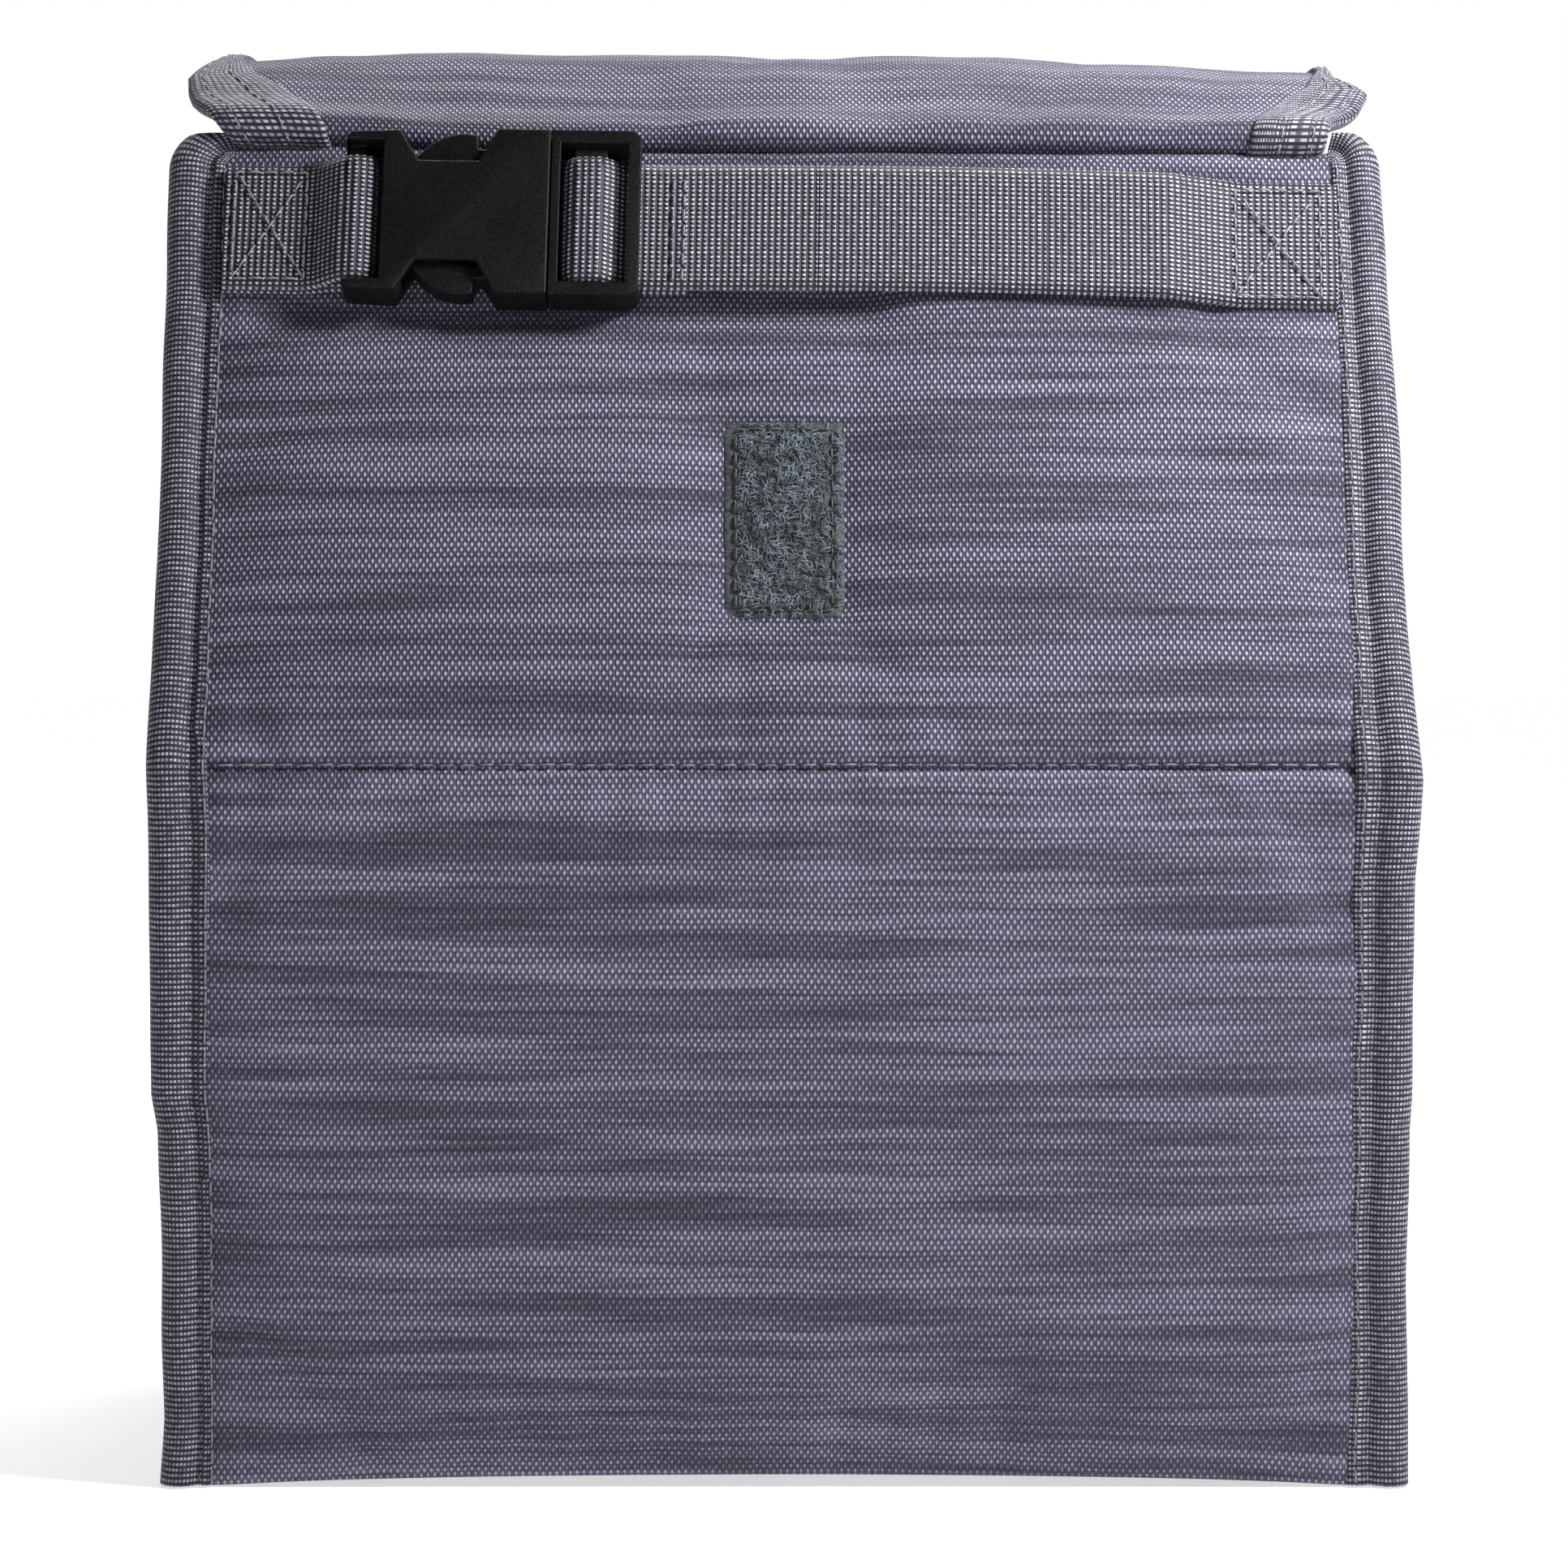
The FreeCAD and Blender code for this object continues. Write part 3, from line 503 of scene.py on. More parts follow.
def tape_material():
    """Grosgrain binding tape: raised picks across the tape, broken into small dots."""
    made = Recipe("binding_grosgrain", Roughness=0.66, Sheen_Weight=0.2, Sheen_Roughness=0.4,
                  Specular_IOR_Level=0.35)
    uv, u, v = made.weave_uv()
    v = made.plus(v, made.scaled(made.noise(uv, 45.0), 0.0012, -0.0006))
    ribs = made.ramp(made.wave(v, TAPE_RIB), -0.8, 0.7)
    picks = made.times(ribs, made.ramp(made.wave(u, TAPE_BEAD), -1.0, 0.4, 0.22))
    fine = made.ramp(made.noise(uv, 1.0, 2.0, 0.6, (900, 900, 0)), 0.3, 0.7, 0.55, 1.3)
    wide = made.ramp(made.noise(uv, 1.0, 2.0, 0.5, (60, 120, 0)), 0.3, 0.7, 0.85, 1.12)
    bright = made.times(made.times(picks, made.times(fine, wide)), 0.8)
    colour = made.colours(bright, (0.0, (0.005, 0.005, 0.012)), (1.0, (0.46, 0.45, 0.55)),
                          (0.4, (0.118, 0.113, 0.158)))
    return made.finish(colour, picks, 0.3, 0.8)


def webbing_material():
    """Strap webbing: columns of short light picks with deep dark gaps, a woven pattern whose pale picks are
    partly painted highlight on the twisted yarn and whose near-black gaps are partly painted shade.
    """
    made = Recipe("strap_webbing", Roughness=0.6, Sheen_Weight=0.15, Sheen_Roughness=0.4,
                  Specular_IOR_Level=0.4)
    uv, u, v = made.weave_uv()
    ribs = made.ramp(made.wave(u, WEBBING_RIB), -0.7, 0.65, 0.05)
    slant = made.times(made.math("PINGPONG", u, WEBBING_RIB / 2 * MM), 0.55)
    dash = made.ramp(made.wave(made.plus(v, slant), WEBBING_DASH), -0.6, 0.7, 0.02)
    picks = made.times(ribs, dash)
    tone = made.ramp(made.noise(uv, 1.0, 2.0, 0.6, (600, 1300, 0)), 0.3, 0.72, 0.6, 1.3)
    # the pale top stop paints highlights on the picks, the near-black bottom stop paints shade in the gaps
    colour = made.colours(made.times(made.times(picks, tone), 0.8), (0.0, (0.005, 0.005, 0.010)),
                          (1.0, (0.66, 0.64, 0.75)), (0.4, (0.165, 0.158, 0.21)))
    return made.finish(colour, picks, 0.35, 0.85)


def simple_material(name, low, high, scale, relief, detail=3.0, stretch=None, **surface):
    """Noise between two colours, with the same noise as relief."""
    made = Recipe(name, **surface)
    value = made.noise(made.place(), scale, detail, 0.6, stretch)
    spread = made.ramp(value, 0.3, 0.7)
    return made.finish(made.colours(spread, (0.0, low), (1.0, high)), value, relief, 0.6)


def plastic_material():
    """Moulded black acetal with a fine spark-eroded texture."""
    made = Recipe("buckle_black", Specular_IOR_Level=0.11)
    place = made.place()
    grain = made.noise(place, 1900.0, 3.0, 0.65)
    colour = made.colours(made.ramp(grain, 0.25, 0.75), (0.0, (0.0022, 0.0022, 0.0024)),
                          (1.0, (0.009, 0.009, 0.0094)))
    rough = made.ramp(made.noise(place, 120.0), 0.3, 0.7, 0.42, 0.54)
    return made.finish(colour, grain, 0.12, 0.8, rough)


def lining_material():
    """Pale wipe-clean film lining with a fine embossed grid and soft creases."""
    made = Recipe("lining_film", Roughness=0.38, Coat_Weight=0.15, Coat_Roughness=0.3, Specular_IOR_Level=0.5)
    uv, u, v = made.weave_uv()
    lines = [made.ramp(made.wave(along, 2.4), 0.8, 1.0) for along in (u, v)]
    creases = made.noise(uv, 90.0, 4.0, 0.6)
    tone = made.ramp(made.noise(uv, 25.0, 3.0), 0.3, 0.7)
    colour = made.colours(tone, (0.0, (0.36, 0.37, 0.39)), (1.0, (0.47, 0.48, 0.50)))
    return made.finish(colour, made.scaled(made.math("MAXIMUM", *lines), -0.25, creases), 0.5, 0.6)


def zip_tape_material():
    """Herringbone zip tape."""
    made = Recipe("zip_tape_twill", Roughness=0.75, Sheen_Weight=0.2)
    uv, u, v = made.weave_uv()
    slant = made.math("PINGPONG", u, 1.6 * MM)
    twill = made.ramp(made.wave(made.plus(v, slant), 0.7), -0.6, 0.7)
    fine = made.noise(uv, 1500.0, 2.0)
    value = made.times(twill, made.ramp(fine, 0.3, 0.7, 0.6, 1.2))
    colour = made.colours(value, (0.0, (0.012, 0.012, 0.014)), (1.0, (0.06, 0.06, 0.068)))
    return made.finish(colour, twill, 0.15, 0.6)


MATERIALS = {
    # the wall weave: its darker gaps and brighter tips above the fold are painted shade and painted highlight
    "shell": shell_material("shell_weave", 0.15, 0.06),
    # copy of the weave for the folded top with a dark floor all over: painted shade and painted highlight for
    # the top light on the band
    "top_shell_raking_light": shell_material("top_weave_raking_light", 0.04, 0.04),
    "tape": tape_material(),
    "webbing": webbing_material(),
    "plastic": plastic_material(),
    "lining": lining_material(),
    "zip_tape": zip_tape_material(),
    "pile": simple_material("loop_pile_fuzz", (0.004, 0.007, 0.010), (0.160, 0.196, 0.235), 420.0, 0.2,
                            Roughness=0.85, Sheen_Weight=0.2, Sheen_Roughness=0.5),
    # the patch ground runs near-black at its low end: partly its own dark colour, partly painted shade under and
    # between the loops
    "selvage": simple_material("loop_selvage", (0.006, 0.008, 0.010), (0.066, 0.076, 0.084), 900.0, 0.15,
                               stretch=(1.0, 1.0, 2.4), Roughness=0.8, Sheen_Weight=0.1),
    "thread": simple_material("sewing_thread", (0.10, 0.098, 0.125), (0.24, 0.235, 0.28), 2600.0, 0.06,
                              Roughness=0.55, Sheen_Weight=0.2),
    "dark_thread": simple_material("dark_thread", (0.02, 0.022, 0.026), (0.07, 0.075, 0.085), 2600.0, 0.06,
                                   Roughness=0.6, Sheen_Weight=0.2),
    "foam": simple_material("closed_cell_foam", (0.60, 0.60, 0.57), (0.80, 0.80, 0.77), 900.0, 0.3,
                            Roughness=0.9),
    "gel": simple_material("cooling_gel", (0.10, 0.10, 0.13), (0.16, 0.16, 0.20), 60.0, 0.4,
                           Roughness=0.25, Coat_Weight=0.4),
    "board": simple_material("base_board", (0.035, 0.035, 0.037), (0.075, 0.075, 0.08), 500.0, 0.15,
                             Roughness=0.6),
    "coil": simple_material("zip_coil_nylon", (0.010, 0.010, 0.012), (0.035, 0.035, 0.04), 800.0, 0.04,
                            Roughness=0.35, Specular_IOR_Level=0.5),
    "metal": simple_material("zip_gunmetal", (0.16, 0.16, 0.17), (0.30, 0.30, 0.31), 700.0, 0.03,
                             Metallic=1.0, Roughness=0.32),
}


def dress(piece, material):
    """Give the piece its material."""
    piece.data.materials.clear()
    piece.data.materials.append(MATERIALS[material])


def settle(piece, material, slot, *nodes, body="bag"):
    """Dress a piece, hide the CAD nodes it stands for, and let it ride on its body."""
    dress(piece, material)
    if nodes:
        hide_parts(*nodes)
    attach(piece, body)


SIDES = ((-1, "back"), (1, "front"))
HANDS = ((-1, "left"), (1, "right"))
SHELL = 0.9 * FABRIC


# ---------------------------------------------------------------- padded walls

SEAM = LOWER_RUN
PATCH_LOW, PATCH_HIGH = box_mm("back_loop_patch")
PATCH_HALF_WIDTH = PATCH_HIGH[0]
PATCH_HALF_HEIGHT = (PATCH_HIGH[2] - PATCH_LOW[2]) / 2 / math.cos(UPPER_LEAN) - 0.3
PATCH_MIDDLE = LOWER_RUN + ((PATCH_LOW[2] + PATCH_HIGH[2]) / 2 - FOLD_HEIGHT) / math.cos(UPPER_LEAN) - 0.6


def crease_line(x):
    """How far the crease under the folded top sits above (+) or below (-) its CAD height."""
    return 1.3 - 2.3 * smooth(x, -92, -38) - 0.3 * smooth(x, 0, 90)


def foot_arch(x):
    """Lift of the bottom edge between its two corners."""
    return 2.1 * np.clip(1 - (np.asarray(x, float) / 96) ** 2, 0, 1) ** 0.8


def swelling(x, s, side):
    """Height of the padding over the wall plane before the cloth is relaxed."""
    inside = 1 - np.abs(x / 99.0) ** 6
    lower = np.clip(s / SEAM, 0, 1)
    upper = np.clip((s - SEAM) / UPPER_RUN, 0, 1)
    dome = np.where(s < SEAM, np.sin(math.pi * lower) ** 0.45, np.sin(math.pi * upper) ** 0.45)
    height = 1.7 * np.clip(inside, 0, 1) ** 0.6 * dome
    height = height + 0.35 * ripple(x, s, 60, 3 + side) * dome * np.clip(inside, 0, 1)
    return height


def clearance_cap(x, s, side):
    """Most that the padding may stand out, kept low under the buckle, patch and strap ends."""
    cap = np.full(np.broadcast(x, s).shape, 2.6)
    if side > 0:
        return cap
    drop = WALL_RUN - s
    buckle = smooth(x, -104, -92) * (1 - smooth(x, 12, 30))
    anchor = smooth(x, 66, 76)
    under = smooth(drop, 1, 5) * (1 - smooth(drop, 33, 41)) * np.maximum(buckle, anchor)
    cap = cap * (1 - under) + 0.25 * under
    beside = 1 - smooth(np.abs(x), PATCH_HALF_WIDTH - 1, PATCH_HALF_WIDTH + 6)
    above = 1 - smooth(np.abs(s - PATCH_MIDDLE), PATCH_HALF_HEIGHT - 1, PATCH_HALF_HEIGHT + 6)
    return cap * (1 - beside * above) + 0.45 * beside * above


def graded(low, high, step, centre, fine, reach):
    """Numbers from low to high, closer together near the centre."""
    values = [low]
    while values[-1] < high:
        near = smooth(abs(values[-1] - centre), reach * 0.4, reach)
        values.append(values[-1] + fine + (step - fine) * float(near))
    values = np.array(values)
    return low + (values - low) * (high - low) / (values[-1] - low)


# soft creases of the back wall: middle, drop below the crease line, slant, reach, width and depth
PUCKERS = (
    (86, 46, -0.55, 26, 4.5, 0.75), (70, 60, -0.35, 30, 6.0, 0.6), (92, 78, -0.9, 18, 5.0, 0.5),
    (38, 48, 0.18, 34, 5.0, 0.55), (-84, 50, 0.5, 24, 5.0, 0.6), (-60, 66, 0.25, 30, 6.5, 0.5),
    (-10, 46, 0.1, 30, 5.0, 0.45),
)


def puckers(x, s):
    """Soft creases that run into the back wall from the strap's sewn ends and from the side seams."""
    depth = 0.0
    for middle, fall, slant, reach, width, amount in PUCKERS:
        across = WALL_RUN - s - fall + slant * (x - middle)
        depth = depth + amount * np.exp(-(across / width) ** 2 - ((x - middle) / reach) ** 2)
    return depth


def make_wall(side, word):
    """Back or front wall: quilted pads that swell on both sides of the stitched fold line."""
    x_line = np.linspace(-HALF_WIDTH - 0.2, HALF_WIDTH + 0.2, 83)
    s_line = graded(0.4, WALL_RUN + 0.6, 2.6, SEAM, 0.8, 9)
    s, x = np.meshgrid(s_line, x_line, indexing="ij")
    cap = clearance_cap(x, s, side)
    top_shift = crease_line(x) * smooth(s, WALL_RUN - 30, WALL_RUN) * (side < 0)
    bottom_shift = foot_arch(x) * (1 - smooth(s, 0, 22))
    points = wall(side, x, s + top_shift + bottom_shift, np.minimum(swelling(x, s, side), cap))
    piece = make_sheet(word + "_wall", points, stack(x, s), flip=side > 0)
    pinned = (np.abs(x) > 99) | (s < 1) | (s > WALL_RUN - 1.5) | (np.abs(s - SEAM) < 1.1)
    if side < 0:
        pinned |= (np.abs(x) < PATCH_HALF_WIDTH) & (np.abs(s - PATCH_MIDDLE) < PATCH_HALF_HEIGHT)
    relax(piece, pinned.ravel(), 5.0, 0.010, 0.75 * cap.ravel())
    subdivide(piece)
    if side < 0:
        press_puckers(piece)
    press_seam(piece, side)
    thicken(piece, SHELL)
    settle(piece, "shell", "shell_fabric", word + "_panel_fabric", word + "_foam")


def wall_coordinates(points, side):
    """(s, n) of points near a wall."""
    depth, height = side * points[:, 1], points[:, 2]
    upper = height > FOLD_HEIGHT
    lean = np.where(upper, -UPPER_LEAN, LOWER_LEAN)
    base_depth = np.where(upper, FOLD_DEPTH, BASE_DEPTH)
    base_height = np.where(upper, FOLD_HEIGHT, 0.0)
    along = (depth - base_depth) * np.sin(lean) + (height - base_height) * np.cos(lean)
    out = (depth - base_depth) * np.cos(lean) - (height - base_height) * np.sin(lean)
    return along + np.where(upper, LOWER_RUN, 0.0), out


def push_out(piece, points, side, push, lean):
    """Move the points of a wall along its outward direction."""
    points[:, 1] += side * push * np.cos(lean)
    points[:, 2] += push * np.sin(lean)
    set_vertices_mm(piece, points)


def press_puckers(piece):
    """Sink the creases of the back wall into the relaxed cloth."""
    points = vertices_mm(piece)
    s, n = wall_coordinates(points, -1)
    depth = puckers(points[:, 0], s) * smooth(n, 0.2, 1.4) * (1 - smooth(np.abs(points[:, 0]), 95, 100))
    push_out(piece, points, -1, -depth, UPPER_LEAN)


def press_seam(piece, side):
    """Sink the stitched fold line, with small puckers at each stitch, and the wall's top rim."""
    points = vertices_mm(piece)
    s = wall_coordinates(points, side)[0]
    groove = 1.5 * bell(s, SEAM - 0.3, 1.25) + 0.5 * bell(s, SEAM, 5)
    pucker = 0.16 * np.sin(points[:, 0] * 2 * math.pi / 3.4) * bell(s, SEAM, 4.5)
    rim = 1.3 * bell(s, WALL_RUN + 0.5, 2.6)
    push_out(piece, points, side, pucker - groove - rim, wall_lean(s))


def gusset_depth(z):
    lower = BASE_DEPTH + (FOLD_DEPTH - BASE_DEPTH) * z / FOLD_HEIGHT
    upper = FOLD_DEPTH - (FOLD_DEPTH - CREASE_DEPTH) * (z - FOLD_HEIGHT) / (CREASE_HEIGHT - FOLD_HEIGHT)
    return np.where(z < FOLD_HEIGHT, lower, upper)


def make_gusset(hand, word):
    """Side wall: full below, drawn in along its middle towards the folded top, and clear of its gel pack."""
    z, t = np.meshgrid(np.linspace(0.3, CREASE_HEIGHT, 84), np.linspace(-1, 1, 43), indexing="ij")
    y = t * (gusset_depth(z) - 0.6)
    edge = 1 - np.abs(t) ** 4
    full = 2.2 * edge * np.sin(math.pi * np.clip(z / 190, 0, 1)) ** 0.6
    tuck = -4.6 * (1 - np.abs(t)) ** 1.2 * smooth(z, 140, 232)
    fold = -1.1 * bell(z, FOLD_HEIGHT + 3 * np.abs(t), 3.0) * edge
    out = full + tuck + fold + 0.35 * ripple(y, z, 45, 11 + hand) * edge
    x = hand * (HALF_WIDTH - 0.3 + out) + 0.8 * edge_shift(hand * 100.0, z)
    piece = make_sheet(word + "_gusset", stack(x, y, z), stack(y, z), flip=hand < 0)
    pinned = (np.abs(t) > 0.96) | (z < 2) | (z > CREASE_HEIGHT - 2)
    relax(piece, pinned.ravel(), 3.0, 0.012, 2.2)
    subdivide(piece)
    points = vertices_mm(piece)
    gel = box_mm("right_gel_pack")[1]
    least = gel[0] + FABRIC + 0.5 - 6.0 * smooth(points[:, 2], gel[2] + 1, gel[2] + 5)
    points[:, 0] = hand * np.maximum(hand * points[:, 0], least)
    set_vertices_mm(piece, points)
    thicken(piece, SHELL)
    settle(piece, "shell", "shell_fabric", word + "_gusset_fabric", word + "_foam")


def make_bottom():
    """Base panel, lifted a little between its corners, with a soft radius at its edges."""
    y, x = np.meshgrid(np.linspace(-BASE_DEPTH, BASE_DEPTH, 42), np.linspace(-HALF_WIDTH, HALF_WIDTH, 70),
                       indexing="ij")
    rim = np.minimum(1, (1 - np.maximum(np.abs(x) / HALF_WIDTH, np.abs(y) / BASE_DEPTH)) * 9)
    z = foot_arch(x) * 0.8 + 0.4 * (1 - rim) + 0.15 + 0.15 * ripple(x, y, 40, 21) * rim
    piece = make_sheet("base_panel", stack(x, y, np.maximum(z, 0.05)), stack(x, y), flip=True)
    thicken(piece, SHELL)
    settle(piece, "shell", "shell_fabric", "bottom_panel_fabric", "bottom_foam")


for wall_side, side_word in SIDES:
    make_wall(wall_side, side_word)
for wall_hand, hand_word in HANDS:
    make_gusset(wall_hand, hand_word)
make_bottom()


# ---------------------------------------------------------------- bound corners

# the rolled tape's section: across from the flange's inner edge outwards, and out from the wall
BINDING_SECTION = [
    (-1.0, -0.4), (-1.0, 0.5), (-0.7, 0.75), (0.5, 0.9), (1.5, 0.8), (2.0, 0.3), (2.4, 0.05), (2.8, 0.4),
    (3.7, 1.2), (5.0, 1.75), (6.6, 1.8), (7.9, 1.3), (8.9, 0.3), (9.4, -0.9), (9.5, -1.9), (9.1, -2.9),
    (8.2, -3.6), (6.8, -4.0), (5.2, -3.6), (4.0, -2.4), (3.2, -1.4), (1.4, -1.2),
]
SECTION_MIDDLE = 4.75
CURL = 6.0
CURL_START = WALL_RUN - CURL + 2.4
BINDING_TOP = WALL_RUN + 2.7
BINDING_STITCHES = (2.5, 0.8, 0.17)


def dense_section(section, step):
    """Closed section with its corners eased."""
    line = resample(section + section[:1], step)[0][:-1]
    for turn in range(2):
        line = (np.roll(line, 1, axis=0) + 2 * line + np.roll(line, -1, axis=0)) / 4
    return line


def make_binding(side, side_word, hand, hand_word):
    """Tape rolled round a corner seam, curling in at the top where the bag's shoulder is folded."""
    section = dense_section(BINDING_SECTION, 0.55)
    s_straight = np.arange(0.5, CURL_START, 1.15)
    turn = np.linspace(0, math.pi / 2, 16)[1:]
    s_line = joined(s_straight, CURL_START + CURL * np.sin(turn) * 0.9)
    pull_in = joined(0 * s_straight, CURL * (1 - np.cos(turn)) * 0.95)
    heading = joined(0 * s_straight, turn * 0.85)
    run = distances(stack(s_line, pull_in))
    swell = 0.12 * ripple(run, 0 * run, 21, 5)
    middle = FLANGE_INNER + SECTION_MIDDLE + 0.28 * ripple(run, 0 * run, 38, 31 + 2 * side + hand) - pull_in
    size = 1 + 0.05 * ripple(run, 0 * run + 9, 26, 47 + side * hand)
    across, out = section.T
    across = across + (1.1 if hand < 0 else -0.4) * (across < 1.0)
    offset = (across - SECTION_MIDDLE) * size[:, None]
    if side < 0 and hand < 0:
        lap = 0.55 * smooth(run, 53, 54.2) * (1 - smooth(run, 128, 131))
        offset = offset - lap[:, None] * (across < 2.2)
    local_x = middle[:, None] + offset * np.cos(heading)[:, None]
    local_s = s_line[:, None] + offset * np.sin(heading)[:, None] * 0.8
    closing = 1.4 * smooth(run, run[-1] - 9, run[-1])
    depth = out * size[:, None] + (swell - closing)[:, None]
    rings = wall(side, hand * local_x, np.clip(local_s, 0.1, BINDING_TOP), depth)
    rings[..., 2] = np.maximum(rings[..., 2], 0.02)
    if side * hand > 0:
        rings = rings[:, ::-1]
    name = "%s_%s_roll" % (side_word, hand_word)
    piece = make_loft(name, rings, run, distances(joined(section, section[:1])))
    settle(piece, "tape", "binding_tape", "%s_%s_binding" % (side_word, hand_word))
    stitch_runs = []
    sewn = run < run[-1] - 7
    for place, level in ((0.2, 0.85), (2.35, 0.1)):
        x = hand * (middle + (place - SECTION_MIDDLE) * size * np.cos(heading))
        s = s_line + (place - SECTION_MIDDLE) * np.sin(heading) * 0.8
        outward = wall(side, x, s, level + 1) - wall(side, x, s, level)
        stitch_runs.append((wall(side, x, s, level * size + swell)[sewn], outward[sewn]))
    stitches = make_stitches(name + "_stitches", stitch_runs, *BINDING_STITCHES, 0.06)
    settle(stitches, "thread", "binding_tape")


for wall_side, side_word in SIDES:
    for wall_hand, hand_word in HANDS:
        make_binding(wall_side, side_word, wall_hand, hand_word)


def make_seam_threads():
    """The thread line just above each wall's stitched fold."""
    x = np.linspace(-97, 97, 400)
    for side, word in SIDES:
        run = (wall(side, x, SEAM + 0.25, -1.35 + 0.1 * np.sin(x / 9)), np.array([0, side, 0.15]))
        stitches = make_stitches(word + "_fold_stitches", [run], 2.7, 0.7, 0.2, 0.12)
        settle(stitches, "thread", "shell_fabric")


make_seam_threads()


# ---------------------------------------------------------------- folded top

def fit_roof():
    """Centre and radius, in the side view, of the roof's outer face."""
    points = vertices_mm(frame["nodes"]["roof_fabric"])[:, 1:]
    outer = points
    for turn in range(3):
        system = joined(2 * outer, np.ones((len(outer), 1)), axis=1)
        solved = np.linalg.lstsq(system, (outer ** 2).sum(1), rcond=None)[0]
        centre = solved[:2]
        radius = math.sqrt(solved[2] + centre @ centre)
        distance = np.linalg.norm(points - centre, axis=1)
        outer = points[distance > distance.max() - 0.3]
    return centre, radius


ROOF_CENTRE, ROOF_RADIUS = fit_roof()
TOP_PIVOT = pivot_mm("top_unfold")
FRONT_PIVOT = pivot_mm("front_unfold")
FLAP_LENGTH = 70.0
DOWN = np.array([math.sin(UPPER_LEAN), -math.cos(UPPER_LEAN)])
OUTWARD = np.array([math.cos(UPPER_LEAN), math.sin(UPPER_LEAN)])


# side-view steps (y, z) from the top's pivot, up the soft crease at the back
CREASE_STEPS = [(3.2, -2.2), (0.8, -1.0), (-1.1, -0.2), (-2.1, 1.6), (-1.6, 4.2)]


def top_profile():
    """Side view (y, z) of the folded top's outer face, from the back crease to the flap's lower edge."""
    angles = np.radians(np.linspace(-44, 27, 40))
    arc = ROOF_CENTRE + ROOF_RADIUS * stack(np.sin(angles), np.cos(angles))
    hanging = FRONT_PIVOT[1:] + np.linspace(2.5, FLAP_LENGTH, 30)[:, None] * DOWN
    return rounded(joined(TOP_PIVOT[1:] + CREASE_STEPS, arc, hanging), 14, 0.6)


PROFILE, PROFILE_RUN = top_profile()
CREST = int(np.argmax(PROFILE[:, 1]))
CREST_RUN = PROFILE_RUN[CREST]
FRONT_RUN = PROFILE_RUN[int(np.argmin(np.linalg.norm(PROFILE - FRONT_PIVOT[1:], axis=1)))]
SPLIT_RUN = (CREST_RUN + FRONT_RUN) / 2
END_RUN = PROFILE_RUN[-1]


def top_point(x, run, out=0.0):
    """Point on the folded top, out from its outer face, with the sag of the real one."""
    x, run, out = [part.astype(float) for part in np.broadcast_arrays(x, run, out)]
    y, z, normal_y, normal_z = [np.interp(run, PROFILE_RUN, values)
                                for values in (*PROFILE.T, *side_normals(PROFILE).T)]
    fading = 1 - smooth(run, CREST_RUN, FRONT_RUN + 6)
    droop = 2.2 * smooth(x, 15, 100) + 2.4 * smooth(-x, 55, 98)
    sag = crease_line(x) * 0.9 - droop * smooth(run, 4, CREST_RUN)
    return stack(x, y + out * normal_y, z + out * normal_z + sag * fading)


# half widths along the run, from the flare at the crease: of the roof fabric, and of its edge tape
ROOF_PLACES = [0, 3, 7, 10, 14, 19, 24, 34, 45, 70, 200]
ROOF_EDGE = {-1: [80.0, 80.5, 81.6, 83.7, 86.5, 90.0, 95.2, 98.4, 98.0, 96.5, 96.0],
             1: [82.0, 82.2, 83.0, 84.0, 86.5, 90.0, 94.2, 97.0, 97.0, 96.5, 96.0]}
TAPE_PLACES = [0, 4, 8, 11, 14, 18, 23, 29, 36, 45, 70, 200]
TAPE_EDGE = {-1: [97.0, 98.5, 101.6, 103.6, 105.5, 106.7, 107.2, 105.1, 102.4, 101.2, 101.8, 103.0],
             1: [95.0, 96.0, 96.8, 97.6, 99.4, 103.0, 105.0, 99.6, 99.4, 100.2, 101.6, 103.0]}


def roof_edge(hand, run):
    """Where the roof fabric meets its edge tape."""
    return np.interp(run, ROOF_PLACES, ROOF_EDGE[hand])


# soft dents across the folded band: centre, slant, width and depth
BAND_DENTS = ((-19, 0.55, 5.5, 0.55), (19, -0.35, 6.5, 0.6), (41, 0.45, 5.0, 0.5), (-62, -0.4, 8.0, 0.35),
              (70, 0.5, 6.0, 0.4))


def band_wrinkles(x, run):
    """Soft diagonal dents across the folded band, and long waves on the flap."""
    dents = 0.0
    for centre, slant, width, depth in BAND_DENTS:
        dents = dents - depth * bell(x - centre - slant * (run - 10), 0, width)
    above_buckle = smooth(x, -92, -82) * (1 - smooth(x, -24, -14))
    dents = dents - 1.0 * above_buckle * smooth(run, 4, 8) * (1 - smooth(run, 24, 34))
    across = smooth(run, 2, 8) * (1 - smooth(run, CREST_RUN + 4, CREST_RUN + 22))
    waves = 0.5 * ripple(x, run, 55, 71) * smooth(run, FRONT_RUN + 4, FRONT_RUN + 20)
    edge = 1 - smooth(np.abs(x), 86, 95)
    return dents * across + waves * edge + 0.15 * ripple(x, run, 18, 73) * smooth(run, 3, 10) * edge


def flap_swelling(x, run):
    """Padding of the roof and of the hanging flap."""
    roof = np.sin(math.pi * np.clip((run - 2) / (FRONT_RUN - 2), 0, 1)) ** 0.7 * 0.7
    hanging = np.sin(math.pi * np.clip((run - FRONT_RUN) / (END_RUN - 3 - FRONT_RUN), 0, 1)) ** 0.6 * 1.1
    edge = 1 - (np.abs(x) / 97.0) ** 6
    return (np.where(run < FRONT_RUN, roof, hanging) + 0.1) * np.clip(edge, 0, 1)


def top_thickness(run):
    """Depth of the folded top: thick where it grows out of the wall, thin along the roof."""
    return 3.0 + 4.2 * (1 - smooth(run, 1, 7))


def bend_back(piece):
    """Bake the place of a piece of the roof into its mesh."""
    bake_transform(piece)


def bend_front(piece):
    """Bake the place of a piece of the flap into its mesh."""
    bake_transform(piece)


